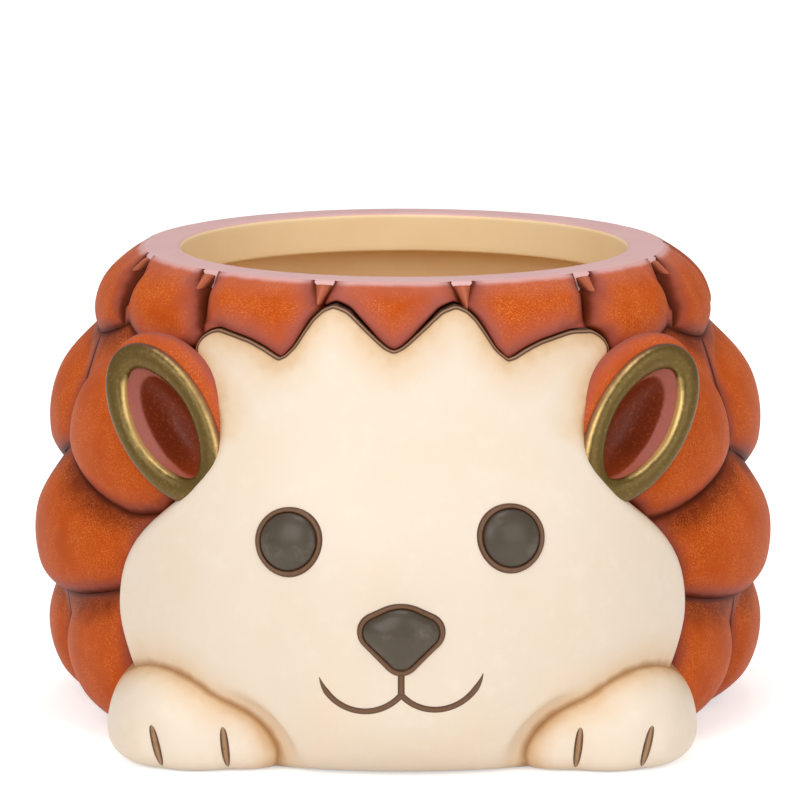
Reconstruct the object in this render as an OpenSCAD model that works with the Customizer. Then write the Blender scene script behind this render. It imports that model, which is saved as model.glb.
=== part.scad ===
// Hedgehog planter: a round stoneware pot cover. A hedgehog's head, ears and front paws are modelled on
// its front, and rows of pillow-shaped quills cover the rest of its wall.
// Millimetres, +Z up. The face looks along -Y. The origin is the middle of the foot, on the floor.

/* [Pot] */
// Inner diameter of the mouth
mouth_d = 112.5; // [107:0.5:117]
// Width of the flat rim
rim_w = 8.5; // [7:0.5:10]
// Height of the rim above the floor
pot_h = 117; // [112:1:122]
// Height of the straight collar inside the mouth
collar_h = 10; // [8:0.5:13]
// Radius of the wall outside at its widest
belly_r = 84; // [82:0.5:86]
// Height of the widest ring of the wall
belly_z = 45; // [40:1:50]
// How far the wall draws in from the belly down to the floor
base_inset = 11; // [9:0.5:13]
// Thickness of the wall
wall_t = 6; // [5:0.5:8]
// Thickness of the floor
floor_t = 7; // [6:0.5:9]
// Width of the foot ring that belongs to the floor
foot_w = 12; // [8:1:16]
// Depth of the recess inside the foot ring
foot_recess = 2; // [1:0.5:3]
// Diameter of the kiln vent between the pot and the hollow head
vent_d = 5; // [3:0.5:7]

/* [Quills] */
// How far the crown quills hang below the rim
crown_drop = 20; // [18:0.5:22]
// How far the crown quills stand out from the wall
crown_proud = 6; // [5:0.5:7]
// How far the tips of the upper quills lie below those of the crown quills
upper_drop = 39; // [37:1:41]
// How far the tips of the middle quills lie below those of the upper quills
middle_drop = 26; // [24:1:28]
// How far the upper, middle and lower quills stand out from the wall
quill_proud = 10; // [9:0.5:11]
// Rise from the tip of a crown quill to the notch beside it
crown_notch = 5; // [4:0.5:6]
// Rise from the tip of a lower quill to the notch beside it
quill_notch = 11; // [8:0.5:13]
// Depth of the small tufts that fill the notches at the rim
tuft_drop = 4.5; // [4:0.5:6]
// How far the tufts stand out from the rim
tuft_proud = 1.6; // [1.2:0.1:2.2]

/* [Head] */
// How much less than the belly's radius the head's radius is, seen from the front
head_inset = 9; // [7:0.5:11]
// Depth of the head in front of its middle
head_depth = 67; // [65:0.5:69]
// How far the head stands out in front of the belly
head_proud = 18; // [17:0.5:19]
// Height of the head's middle
head_z = 38; // [37:0.5:39]
// Thickness of the hollow head's clay
head_t = 7; // [6:0.5:8]
// How far the brow stands out from the wall
brow_t = 5.5; // [5:0.5:7]
// Angle from the middle of the face to the edge of a cheek
cheek_angle = 51.3; // [50:0.5:53]
// Radius of the muzzle, seen from the front
muzzle_r = 30; // [29:0.5:31]
// Depth of the muzzle in front of its middle
muzzle_depth = 28; // [27:0.5:29]
// How far the muzzle stands out in front of the belly
muzzle_proud = 24; // [23:0.5:25]
// Height of the muzzle's middle
muzzle_z = 33; // [32:0.5:34]
// How far the chin's foot lies behind the belly's front
chin_inset = 1; // [0:0.5:2]
// Height of the undercut below the chin
chin_rise = 10; // [8:0.5:12]

/* [Face] */
// Radius of an eye
eye_r = 7.3; // [6.5:0.1:8]
// Width of the brown ring round an eye
eye_ring_w = 1.4; // [1:0.1:1.8]
// Distance of an eye from the middle of the face
eye_x = 26.7; // [25:0.1:28]
// Height of an eye
eye_z = 58.5; // [56:0.5:60]
// How far an eye bulges
eye_bulge = 2.8; // [2:0.1:3.4]
// Width of the nose with its brown edge
nose_w = 21; // [19:0.5:23]
// Height of the nose with its brown edge
nose_h = 17.5; // [16:0.5:19]
// Width of the brown edge round the nose
nose_ring_w = 1.4; // [1:0.1:1.8]
// Height of the middle of the nose
nose_z = 37; // [36:0.5:38]
// How far the nose bulges
nose_bulge = 4; // [3:0.5:5]
// Radius of each half of the smile
smile_r = 10.3; // [9.5:0.1:11]
// Width of the mouth line
smile_w = 1.1; // [0.8:0.1:1.5]
// Depth of the mouth line
smile_depth = 1.2; // [0.8:0.1:1.6]

/* [Ears] */
// Half length of an ear
ear_half_l = 22; // [21:0.5:23]
// Half width of an ear, and its depth behind the gold edge
ear_half_w = 12.5; // [12:0.5:13]
// Thickness of the gold edge
ear_rim_t = 4.4; // [4:0.2:5]
// Thickness of the clay inside an ear
ear_lining_t = 1.6; // [1.2:0.1:2]
// How far an ear's middle stands out from the wall behind it
ear_proud = 11.2; // [10.2:0.5:12.2]
// How far an ear's middle lies below the rim
ear_drop = 34.5; // [33:0.5:35]

/* [Paws] */
// Radius of a paw, seen from the front
paw_r = 18.5; // [18:0.5:19.5]
// Half length of a paw
paw_half_l = 27; // [26:0.5:28]
// Height of a paw's middle
paw_z = 7.5; // [7:0.5:8]
// How much less than the belly's radius a paw's middle is from the middle of the face
paw_inset_x = 30.5; // [29.5:0.5:31]
// How much less than the belly's radius a paw's middle is in front of the pot's axis
paw_inset_y = 24; // [23:0.5:25]
// Radius of the foreleg beside the paw, seen from the front
leg_r = 22; // [21:0.5:23]
// How much less than the belly's radius the foreleg's middle is from the middle of the face
leg_inset_x = 39; // [38:0.5:40]
// How much less than the belly's radius the foreleg's middle is in front of the pot's axis
leg_inset_y = 21; // [20:0.5:22]
// How far the paws draw in below, down to the floor
sole_inset = 8; // [7:0.5:9]
// Height of the rounding below the paws
sole_rise = 7; // [6:0.5:8]
// Radius of the hollow in the head that a foreleg lies in, seen from the front
hollow_r = 20; // [19:0.5:21]
// How far in front of the foreleg's end the hollow's middle is
hollow_proud = 0; // [0:0.5:1]
// Depth of the hollow behind its middle
hollow_depth = 8; // [7:0.5:9]
// Width of a line between the toes
toe_w = 1.9; // [1.5:0.1:2.5]
// Length of a line between the toes
toe_l = 12.5; // [11:0.5:13]
// Depth of a line between the toes
toe_depth = 1.2; // [1:0.1:1.6]

/* [Hidden] */
$fn = 72;

CROWN_N = 14;
ROW_N = 7;
SIDES = ["left", "right"];
CROWN_NODES = [for (k = [1 : CROWN_N]) str("crown_quill_", k)];
UPPER_NODES = [for (k = [1 : ROW_N - 1]) str("upper_quill_", k)];
MIDDLE_NODES = [for (k = [1 : ROW_N - 2]) str("middle_quill_", k)];
LOWER_NODES = [for (k = [1 : ROW_N - 1]) str("lower_quill_", k)];

// Overrun of a cut past the piece that it cuts
cut = 1;
// Distance past which nothing reaches
far = 2 * (belly_r + head_depth);
// Running gap between an ear and the quills behind it
seat_gap = 0.3;

// The wall. Its outline is a belly with a shoulder above it and a foot below it.
base_r = belly_r - base_inset;
mouth_r = mouth_d / 2;
rim_r = mouth_r + rim_w;
rim_edge = rim_w / 7;
rim_lip = rim_w / 4;
neck_r = rim_r - rim_lip;
collar_z = pot_h - collar_h;
shoulder_power = 1.9;
foot_power = 2.3;
wall_steps = 12;

function wall_r(z) = z > belly_z
    ? belly_r - (belly_r - neck_r) * pow((z - belly_z) / (pot_h - belly_z), shoulder_power)
    : belly_r - (belly_r - base_r) * pow((belly_z - max(z, 0)) / belly_z, foot_power);
function wall_z(i) = floor_t + (collar_z - floor_t) * i / wall_steps;

wall_outline = concat([[wall_r(0), 0]], [for (i = [0 : wall_steps]) [wall_r(wall_z(i)), wall_z(i)]]);
rim_outline = [[rim_r, pot_h - rim_edge], [rim_r - rim_edge, pot_h]];

// The quills. Their outlines are lines round the pot that share one set of angles, so that neighbours
// meet face to face. An angle is counted from the middle of the face, towards +X.
STEPS = 6 * CROWN_N;
ring_steps = STEPS / ROW_N;
crown_steps = STEPS / CROWN_N;
// The quills close in on the face as they run down, and they spread at the rim
lean_angle = 4;
rim_lean_angle = 8;
// The whole coat of quills is turned a little, as a hand-modelled one is
quill_turn = -2;
notch_power = 1.5;
crown_tip_z = pot_h - crown_drop;
upper_tip_z = crown_tip_z - upper_drop;
middle_tip_z = upper_tip_z - middle_drop;

function step_angle(i) = 360 * i / STEPS;
function leaned(a) = a - (cos(a) > 0 ? lean_angle * sin(2 * a) : 0) + quill_turn;
function at_rim(a) = a + rim_lean_angle * sin(a) + quill_turn;
// 0 at the tip of the quill that step i belongs to, and 1 at the notches beside it
function off_tip(i, steps, shift) =
    let (t = (((i + shift) % steps + steps) % steps) / steps) abs(2 * t - 1);
middle_notch = 0.7 * quill_notch;
function crown_line(i) =
    crown_tip_z + crown_notch * pow(off_tip(i, crown_steps, crown_steps / 2), notch_power);
function upper_line(i) = upper_tip_z + quill_notch * pow(off_tip(i, ring_steps, ring_steps / 2), notch_power);
function middle_line(i) = middle_tip_z + middle_notch * pow(off_tip(i, ring_steps, 0), notch_power);

// A place on the quills' skin at an angle and a height
skin_t = quill_proud / 2;
function skin(a, z) = let (r = wall_r(z) + skin_t) [r * sin(a), -r * cos(a), z];

// Everything on the wall is divided by cones. Those of the quills meet in one point on the pot's axis,
// and the face's cone has its point a little behind it.
module cell(places, facing, tip = [0, 0, belly_z]) {
    n = len(places);
    base = [for (p = places)
        let (s = skin(p[0], p[1]) - tip)
        tip + s * far / (s[0] * sin(facing) - s[1] * cos(facing))];
    polyhedron(
        points = concat([tip], base),
        faces = concat([[for (i = [n : -1 : 1]) i]], [for (i = [1 : n]) [0, i, i % n + 1]])
    );
}

module floor_to(top) {
    cylinder(h = top, r = far);
}

module pot_form() {
    rotate_extrude()
        polygon(concat([[0, -cut], [wall_r(0), -cut]], wall_outline, rim_outline, [[0, pot_h]]));
}

// The face's outline as [share of the cheek's angle, share of the pot's height], up the right side
cheek_shares = [
    [0.80, -0.06], [0.90, 0.06], [0.965, 0.17], [0.99, 0.23], [1, 0.29], [0.99, 0.345], [0.965, 0.40],
    [0.915, 0.45], [0.85, 0.495], [0.76, 0.54], [0.69, 0.58], [0.635, 0.625], [0.615, 0.67], [0.625, 0.715],
    [0.655, 0.755], [0.71, 0.79], [0.765, 0.825], [0.79, 0.85], [0.775, 0.875], [0.73, 0.89], [0.70, 0.888]
];
// The hairline from the right tuft to the middle: the brow runs up in peaks between the crown's tips
hair_shares = [
    [0.61, 0.875], [0.52, 0.863], [0.42, 0.853], [0.36, 0.885], [0.30, 0.925], [0.26, 0.945], [0.22, 0.953],
    [0.18, 0.945], [0.13, 0.915], [0.07, 0.885], [0, 0.866]
];
cheek_n = len(cheek_shares);
hair_n = len(hair_shares);
function cheek_place(p, side) = [side * p[0] * cheek_angle, p[1] * pot_h];
function hair_place(p, side) = [side * p[0] * cheek_angle + quill_turn, p[1] * pot_h];
face_outline = concat(
    [for (p = cheek_shares) cheek_place(p, 1)],
    [for (p = hair_shares) hair_place(p, 1)],
    [for (i = [hair_n - 2 : -1 : 0]) hair_place(hair_shares[i], -1)],
    [for (i = [cheek_n - 1 : -1 : 0]) cheek_place(cheek_shares[i], -1)]
);

module face_cell() {
    cell(face_outline, 0, [0, wall_t, belly_z]);
}

// An egg is turned about +Z, with its middle at the origin. An odd number of steps puts no ring at
// its middle, and a power above 2 makes it fuller.
module egg(half_l, half_r, steps = 15, power = 2) {
    function full(v) = sign(v) * pow(abs(v), 2 / power);
    rotate_extrude()
        polygon(concat(
            [[0, -half_l]],
            [for (i = [1 : steps - 1]) [
                half_r * full(sin(180 * i / steps)), -half_l * full(cos(180 * i / steps))
            ]],
            [[0, half_l]]
        ));
}

head_r = belly_r - head_inset;
head_y = belly_r + head_proud - head_depth;
module skull(inset = 0) {
    translate([0, -head_y, head_z]) rotate([90, 0, 0]) egg(head_depth - inset, head_r - inset, 26);
}

muzzle_y = belly_r + muzzle_proud - muzzle_depth;
module muzzle(inset = 0) {
    translate([0, -muzzle_y, muzzle_z]) rotate([90, 0, 0]) egg(muzzle_depth - inset, muzzle_r - inset, 18);
}

module face_front(inset = 0) {
    skull(inset);
    muzzle(inset);
}

// The room above the floor in front of the pot, with the undercut below the chin left out
chin_y = belly_r - chin_inset;
module over_chin() {
    rotate_extrude()
        polygon([
            [0, 0], [chin_y, 0],
            [chin_y + 0.75 * chin_rise, 0.4 * chin_rise],
            [chin_y + 1.2 * chin_rise, chin_rise],
            [far, chin_rise], [far, pot_h], [0, pot_h]
        ]);
}

// Places a child on the head, its +Z along the surface's normal
function skull_front(x, z) =
    -head_y - head_depth * sqrt(1 - pow(norm([x, z - head_z]) / head_r, 2));
module on_skull(x, z) {
    y = skull_front(x, z);
    n = [x / pow(head_r, 2), (y + head_y) / pow(head_depth, 2), (z - head_z) / pow(head_r, 2)];
    translate([x, y, z])
        rotate([0, 0, atan2(n[0], -n[1])])
        rotate([90 - atan2(n[2], norm([n[0], n[1]])), 0, 0])
        children();
}

module on_muzzle(z) {
    dz = (z - muzzle_z) / muzzle_r;
    y = -muzzle_y - muzzle_depth * sqrt(1 - dz * dz);
    pitch = atan2(dz / muzzle_r, -(y + muzzle_y) / pow(muzzle_depth, 2));
    translate([0, y, z]) rotate([90 - pitch, 0, 0]) children();
}

// The right-hand piece, or its mirror image
module sided(s) {
    if (s == "right") children();
    else mirror([1, 0, 0]) children();
}

pocket_d = head_t / 3;

module eye_pocket() {
    on_skull(eye_x, eye_z) translate([0, 0, -pocket_d]) cylinder(h = far / 4, r = eye_r + eye_ring_w);
}

module nose_outline(inset = 0) {
    top_r = nose_w * 0.28;
    low_r = nose_w * 0.2;
    hull() {
        for (side = [-1, 1])
            translate([side * (nose_w / 2 - top_r), nose_h / 2 - top_r]) circle(r = top_r - inset);
        translate([0, low_r - nose_h / 2]) circle(r = low_r - inset);
    }
}

module nose_pocket() {
    on_muzzle(nose_z) translate([0, 0, -pocket_d]) linear_extrude(height = far / 4) nose_outline();
}

// The smile: an arc on each side of a short upright line under the nose
smile_x = smile_r * 0.85;
smile_z = nose_z - nose_h / 2 + smile_w;
module smile_outline() {
    for (side = [-1, 1])
        intersection() {
            translate([side * smile_x, smile_z]) difference() {
                circle(r = smile_r + smile_w / 2);
                circle(r = smile_r - smile_w / 2);
            }
            translate([side * smile_x, smile_z])
                polygon([
                    [0, 0],
                    [-side * smile_x, -smile_r * 0.6],
                    [-side * smile_x, -smile_r * 2],
                    [side * smile_r * 2, -smile_r * 2],
                    [side * smile_r * 2, -smile_r * 0.3]
                ]);
        }
    translate([-smile_w * 0.7, smile_z - smile_r * 0.62]) square([smile_w * 1.4, smile_r * 0.62]);
}

module smile_form() {
    difference() {
        intersection() {
            face_front();
            rotate([90, 0, 0]) linear_extrude(height = far) smile_outline();
        }
        face_front(smile_depth);
        nose_pocket();
    }
}

// A paw with its foreleg, which comes out from below the chin
paw_x = belly_r - paw_inset_x;
paw_y = belly_r - paw_inset_y;
leg_x = belly_r - leg_inset_x;
leg_y = belly_r - leg_inset_y;
paw_power = 2.4;
leg_power = 2.8;
module paw_mass(inset = 0) {
    translate([paw_x, -paw_y, paw_z])
        rotate([90, 0, 0]) egg(paw_half_l - inset, paw_r - inset, 19, paw_power);
    translate([leg_x, -leg_y, 0])
        rotate([90, 0, 0]) egg(paw_half_l - inset, leg_r - inset, 17, leg_power);
}

// The room above the floor, with the undercut below the paws left out
sole_y = leg_y + paw_half_l - sole_inset;
module over_sole() {
    rotate([90, 0, 90]) linear_extrude(height = far, center = true)
        polygon([
            [0, 0], [-sole_y, 0],
            [-sole_y - 0.7 * sole_inset, 0.35 * sole_rise],
            [-sole_y - 1.1 * sole_inset, sole_rise],
            [-far, sole_rise], [-far, pot_h], [0, pot_h]
        ]);
}

module paw_form() {
    intersection() {
        paw_mass();
        over_sole();
    }
}

// The hollow in the head in front of a foreleg
module paw_hollow() {
    translate([leg_x, -leg_y - paw_half_l - hollow_proud, 0])
        rotate([90, 0, 0]) egg(hollow_depth, hollow_r, 17);
}

// The lines between the toes are slim lenses that stop just above the floor, at shares of the paw's radius
toe_shares = [-0.65, 0.25];
module toe_form() {
    lens_r = (4 * toe_l * toe_l + toe_w * toe_w) / (4 * toe_w);
    difference() {
        intersection() {
            paw_form();
            translate([0, -paw_y, 0]) rotate([90, 0, 0]) linear_extrude(height = far)
                for (share = toe_shares)
                    translate([paw_x + share * paw_r, 0]) intersection() {
                        translate([lens_r - toe_w / 2, 0]) circle(r = lens_r, $fn = 5 * $fn);
                        translate([toe_w / 2 - lens_r, 0]) circle(r = lens_r, $fn = 5 * $fn);
                    }
        }
        paw_mass(toe_depth);
        floor_to(toe_w / 2);
    }
}

// An ear stands in its own frame: +Z along the ear, -Y out of its open side
ear_z = pot_h - ear_drop;
ear_r = wall_r(ear_z) + ear_proud;
ear_azimuth = 40.5;
ear_face_angle = 20;
ear_roll = 38;
ear_pitch = 12;
module at_ear() {
    translate([ear_r * sin(ear_azimuth), -ear_r * cos(ear_azimuth), ear_z])
        rotate([0, 0, ear_face_angle])
        rotate([0, ear_roll, 0])
        rotate([-ear_pitch, 0, 0])
        children();
}

// Everything behind a plane in front of an ear's middle
module behind(front) {
    translate([-far / 2, -front, -far / 2]) cube([far, far, far]);
}

module ear_egg(front, half_l, half_w) {
    intersection() {
        egg(half_l, half_w, 18);
        behind(front);
    }
}

ear_inner_w = ear_half_w - ear_rim_t;
ear_inner_l = ear_half_l - ear_rim_t;
ear_edge_t = ear_rim_t / 2;
module ear_bowl(grow = 0) {
    egg(ear_inner_l + grow, ear_inner_w + grow, 18);
}

module ear_clearance() {
    at_ear() ear_egg(ear_edge_t + seat_gap, ear_half_l + seat_gap, ear_half_w + seat_gap);
}

// A quill's body is an egg that lies across the wall, with its middle inside the wall
quill_half_w = belly_r * 0.53;
quill_r = 3 * quill_proud;
crown_half_w = crown_drop * 1.5;
crown_r = crown_drop * 1.05;

module quill_body(angle, z, proud, half_w, half_r) {
    r = wall_r(z) + proud - half_r;
    translate([r * sin(angle), -r * cos(angle), z])
        rotate([0, 0, angle])
        rotate([0, 90, 0])
        egg(half_w, half_r);
}

module on_wall() {
    difference() {
        intersection() {
            children();
            floor_to(pot_h - rim_edge);
        }
        pot_form();
    }
}

// Crown quill k is 0 over the middle of the face and counts round towards +X. The cells of the three in front
// reach down below the hairline, where the face's cone cuts them.
tuft_half = 2.6;
function tuft_tip(a) = at_rim(a) + (leaned(a) - at_rim(a)) * tuft_drop / crown_drop;
function crown_cell(k) =
    let (
        first = crown_steps * k - crown_steps / 2,
        last = crown_steps * k + crown_steps / 2,
        a0 = step_angle(first),
        a1 = step_angle(last),
        in_front = k < 2 || k > CROWN_N - 2,
        low = in_front ? crown_drop / 2 : 0
    )
    concat(
        [[at_rim(a1) - tuft_half, pot_h + cut], [at_rim(a0) + tuft_half, pot_h + cut]],
        [[tuft_tip(a0), pot_h - tuft_drop]],
        [for (i = [first : last])
            [leaned(step_angle(i)), crown_line(i) - (i == first || i == last ? 0 : low)]],
        [[tuft_tip(a1), pot_h - tuft_drop]]
    );

module crown_quill(k) {
    a = leaned(step_angle(crown_steps * k));
    color("#c05a2c")
    difference() {
        on_wall() intersection() {
            quill_body(a, crown_tip_z + crown_drop / 5, crown_proud, crown_half_w, crown_r);
            cell(crown_cell(k), a);
        }
        if (k < 3 || k > CROWN_N - 3) face_cell();
        if (k == 2) ear_clearance();
        if (k == CROWN_N - 2) mirror([1, 0, 0]) ear_clearance();
    }
}

module rim_tufts() {
    low = pot_h - 1.3 * tuft_drop;
    top = pot_h - rim_edge;
    color("#b8603c")
    for (k = [0 : CROWN_N - 1]) {
        a = step_angle(crown_steps * (k + 1 / 2));
        m = at_rim(a);
        difference() {
            intersection() {
                rotate_extrude()
                    polygon([
                        [mouth_r, low], [wall_r(low) + tuft_proud, low],
                        [rim_r + tuft_proud, top], [mouth_r, top]
                    ]);
                cell([
                    [m + tuft_half, pot_h + cut],
                    [m - tuft_half, pot_h + cut],
                    [tuft_tip(a), pot_h - tuft_drop]
                ], m);
            }
            pot_form();
        }
    }
}

// A lower quill lies between the line above it and its own line, from one step to another
function ring_cell(first, last, above, below) = concat(
    [for (i = [last : -1 : first]) [leaned(step_angle(i)), above[i + STEPS]]],
    [for (i = [first : last]) [leaned(step_angle(i)), below[i + STEPS]]]
);
crown_heights = [for (i = [-STEPS : 2 * STEPS]) crown_line(i)];
upper_heights = [for (i = [-STEPS : 2 * STEPS]) upper_line(i)];
middle_heights = [for (i = [-STEPS : 2 * STEPS]) middle_line(i)];
floor_heights = [for (i = [-STEPS : 2 * STEPS]) -quill_proud];

module ring_quill(first, last, above, below, z, half_r) {
    a = leaned(step_angle((first + last) / 2));
    on_wall() intersection() {
        quill_body(a, z, quill_proud, quill_half_w, half_r);
        cell(ring_cell(first, last, above, below), a);
    }
}

upper_z = (crown_tip_z + upper_tip_z) / 2 - quill_proud / 2;
upper_r = crown_tip_z - upper_tip_z - 0.9 * quill_proud;
middle_z = (upper_tip_z + middle_tip_z) / 2 + quill_proud / 10;
lower_z = middle_tip_z * 0.65;

// Upper quill k sits at k ring steps from the middle of the face
module upper_quill(k) {
    color("#bb5427")
    difference() {
        ring_quill(
            ring_steps * (k - 1 / 2), ring_steps * (k + 1 / 2),
            crown_heights, upper_heights, upper_z, upper_r
        );
        if (k == 1 || k == ROW_N - 1) face_cell();
        if (k == 1) ear_clearance();
        if (k == ROW_N - 1) mirror([1, 0, 0]) ear_clearance();
    }
}

// The first and the last middle quill reach further towards the face
face_steps = 2;
module middle_quill(k) {
    first = ring_steps * k - (k == 1 ? face_steps : 0);
    last = ring_steps * (k + 1) + (k == ROW_N - 2 ? face_steps : 0);
    color("#b64f25")
    difference() {
        ring_quill(first, last, upper_heights, middle_heights, middle_z, quill_r);
        if (k == 1 || k == ROW_N - 2) face_cell();
    }
}

module lower_quill(k) {
    color("#b24b24")
    difference() {
        ring_quill(
            ring_steps * (k - 1 / 2), ring_steps * (k + 1 / 2),
            middle_heights, floor_heights, lower_z, 0.9 * quill_r
        );
        if (k == 1 || k == ROW_N - 1) face_cell();
        if (k == 1) paw_form();
        if (k == ROW_N - 1) mirror([1, 0, 0]) paw_form();
    }
}

module pot_wall() {
    color("#d9b384")
    difference() {
        rotate_extrude()
            polygon(concat(
                wall_outline,
                [for (i = [wall_steps : -1 : 0]) [wall_r(wall_z(i)) - wall_t, wall_z(i)]],
                [[wall_r(0) - wall_t, 0]]
            ));
        translate([0, 0, (crown_tip_z + upper_tip_z) / 2])
            rotate([90, 0, 0])
            cylinder(h = far, d = vent_d);
    }
}

module pot_floor() {
    in_r = wall_r(0) - wall_t;
    color("#d9b384")
    rotate_extrude()
        polygon([
            [0, foot_recess], [in_r - foot_w, foot_recess], [in_r - foot_w, 0],
            [in_r, 0], [wall_r(floor_t) - wall_t, floor_t], [0, floor_t]
        ]);
}

module rim_band() {
    color("#dcb0b0")
    rotate_extrude()
        polygon(concat(
            [[mouth_r, collar_z], [wall_r(collar_z), collar_z]],
            rim_outline,
            [[mouth_r, pot_h]]
        ));
}

// The brow: the part of the face above the skull, between the crown's tips
brow_low = head_z + head_r * 0.7;
brow_steps = 4;
module brow_form() {
    rotate([0, 0, -90 - cheek_angle])
        rotate_extrude(angle = 2 * cheek_angle)
        polygon(concat(
            [[wall_r(brow_low) - wall_t, brow_low]],
            [for (i = [0 : brow_steps])
                let (z = brow_low + (collar_z - brow_low) * i / brow_steps)
                [wall_r(z) + brow_t, z]],
            [[wall_r(pot_h) + brow_t, pot_h - rim_edge], [wall_r(pot_h) - wall_t / 2, pot_h - rim_edge]]
        ));
}

module head() {
    color("#f6e2c6")
    difference() {
        intersection() {
            union() {
                difference() {
                    face_front();
                    skull(head_t);
                }
                brow_form();
            }
            face_cell();
            over_chin();
        }
        pot_form();
        for (s = SIDES) sided(s) {
            eye_pocket();
            paw_hollow();
            paw_form();
        }
        nose_pocket();
        smile_form();
    }
}

module eye(s) {
    ball_r = (eye_r * eye_r + eye_bulge * eye_bulge) / (2 * eye_bulge);
    color("#4c4842")
    sided(s) on_skull(eye_x, eye_z)
        intersection() {
            translate([0, 0, eye_bulge - ball_r]) sphere(r = ball_r);
            translate([0, 0, -pocket_d]) cylinder(h = pocket_d + eye_bulge, r = eye_r);
        }
}

module eye_ring(s) {
    half = eye_ring_w / 2;
    color("#6f4a2c")
    sided(s) on_skull(eye_x, eye_z)
        rotate_extrude() {
            translate([eye_r + half, 0]) circle(r = half);
            translate([eye_r, -pocket_d]) square([eye_ring_w, pocket_d]);
        }
}

module nose() {
    ball_r = (nose_w * nose_w / 4 + nose_bulge * nose_bulge) / (2 * nose_bulge);
    color("#4c4842")
    on_muzzle(nose_z)
        intersection() {
            translate([0, 0, nose_bulge - ball_r]) sphere(r = ball_r);
            translate([0, 0, -pocket_d])
                linear_extrude(height = pocket_d + nose_bulge) nose_outline(nose_ring_w);
        }
}

module nose_edge() {
    color("#6f4a2c")
    on_muzzle(nose_z)
        translate([0, 0, -pocket_d])
        linear_extrude(height = pocket_d + nose_ring_w / 2)
            difference() {
                nose_outline();
                nose_outline(nose_ring_w);
            }
}

module mouth_line() {
    color("#5a3a22") smile_form();
}

module ear(s) {
    color("#c8623c")
    sided(s) difference() {
        at_ear() difference() {
            ear_egg(0, ear_half_l, ear_half_w);
            ear_bowl(ear_lining_t);
        }
        pot_form();
        face_cell();
    }
}

module ear_lining(s) {
    color("#8f4630")
    sided(s) difference() {
        at_ear() difference() {
            ear_egg(0, ear_inner_l + ear_lining_t, ear_inner_w + ear_lining_t);
            ear_bowl();
        }
        pot_form();
        face_cell();
    }
}

// The gold edge is a slice of the ear's own outline in front of its open side
module ear_edge(s) {
    color("#8f7a38")
    sided(s) difference() {
        at_ear() difference() {
            ear_egg(ear_edge_t, ear_half_l, ear_half_w);
            behind(0);
            ear_bowl();
        }
        face_cell();
    }
}

module paw(s) {
    color("#f6e2c6")
    sided(s) difference() {
        paw_form();
        pot_form();
        toe_form();
    }
}

module toe_lines(s) {
    color("#7a5432")
    sided(s) toe_form();
}

pot_wall();
pot_floor();
rim_band();
rim_tufts();
head();
nose();
nose_edge();
mouth_line();
for (s = SIDES) eye(s);
for (s = SIDES) eye_ring(s);
for (s = SIDES) ear(s);
for (s = SIDES) ear_edge(s);
for (s = SIDES) ear_lining(s);
for (s = SIDES) paw(s);
for (s = SIDES) toe_lines(s);
for (k = [1 : CROWN_N]) crown_quill(k - 1);
for (k = [1 : ROW_N - 1]) upper_quill(k);
for (k = [1 : ROW_N - 2]) middle_quill(k);
for (k = [1 : ROW_N - 1]) lower_quill(k);
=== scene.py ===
"""A hedgehog planter of glazed stoneware: an open round pot cover with a modelled head, ears and front paws.

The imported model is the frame. Everything is in metres, +Z up, and the face looks along -Y.
"""

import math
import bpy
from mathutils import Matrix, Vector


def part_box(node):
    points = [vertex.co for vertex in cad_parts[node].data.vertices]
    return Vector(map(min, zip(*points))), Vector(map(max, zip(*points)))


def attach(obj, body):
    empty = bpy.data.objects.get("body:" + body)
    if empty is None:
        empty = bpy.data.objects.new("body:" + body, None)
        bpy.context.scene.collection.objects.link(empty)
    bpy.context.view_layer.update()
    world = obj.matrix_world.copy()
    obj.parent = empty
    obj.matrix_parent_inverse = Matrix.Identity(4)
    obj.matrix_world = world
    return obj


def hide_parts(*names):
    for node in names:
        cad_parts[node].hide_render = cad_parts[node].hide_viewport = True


bl_info = {
    "name": "Hedgehog Planter",
    "version": (1, 0, 0),
    "blender": (4, 5, 0),
    "location": "3D View > Sidebar > Planter",
    "description": "Models a glazed hedgehog planter: pot, coat of quills, head, ears and paws",
    "category": "Add Mesh",
}

from functools import partial

import bpy
import numpy as np
from mathutils import Euler, Matrix, Vector

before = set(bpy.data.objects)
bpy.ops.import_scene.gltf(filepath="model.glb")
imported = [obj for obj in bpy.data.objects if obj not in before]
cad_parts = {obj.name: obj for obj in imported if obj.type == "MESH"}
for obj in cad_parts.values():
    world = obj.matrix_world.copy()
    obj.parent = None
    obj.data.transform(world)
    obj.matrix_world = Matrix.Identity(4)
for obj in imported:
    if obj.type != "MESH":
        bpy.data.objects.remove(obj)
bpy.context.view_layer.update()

MM = 0.001
TAU = 2 * math.pi
SIDES = {"left": -1, "right": 1}


def node_points(node):
    """The points of a node of the frame"""
    return np.array([vertex.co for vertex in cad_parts[node].data.vertices])


def radii(node):
    """The least and the greatest distance of a node's points from the pot's axis"""
    points = node_points(node)
    distances = np.hypot(points[:, 0], points[:, 1])
    return float(distances.min()), float(distances.max())


MOUTH_RADIUS, RIM_RADIUS = radii("rim_band")
POT_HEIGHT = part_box("rim_band")[1].z
COLLAR_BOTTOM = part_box("rim_band")[0].z
BELLY_RADIUS = radii("pot_wall")[1]
FLOOR_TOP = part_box("pot_floor")[1].z


def length(name, description, value):
    """A length among the sizes of a piece, in metres"""
    return bpy.props.FloatProperty(
        name=name, description=description, default=value, unit="LENGTH", precision=4
    )


def number(name, description, value):
    """A plain number among the sizes of a piece"""
    return bpy.props.FloatProperty(name=name, description=description, default=value)


def angle(name, description, degrees):
    """An angle among the sizes of a piece"""
    return bpy.props.FloatProperty(
        name=name, description=description, default=math.radians(degrees), unit="ROTATION", subtype="ANGLE"
    )


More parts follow.
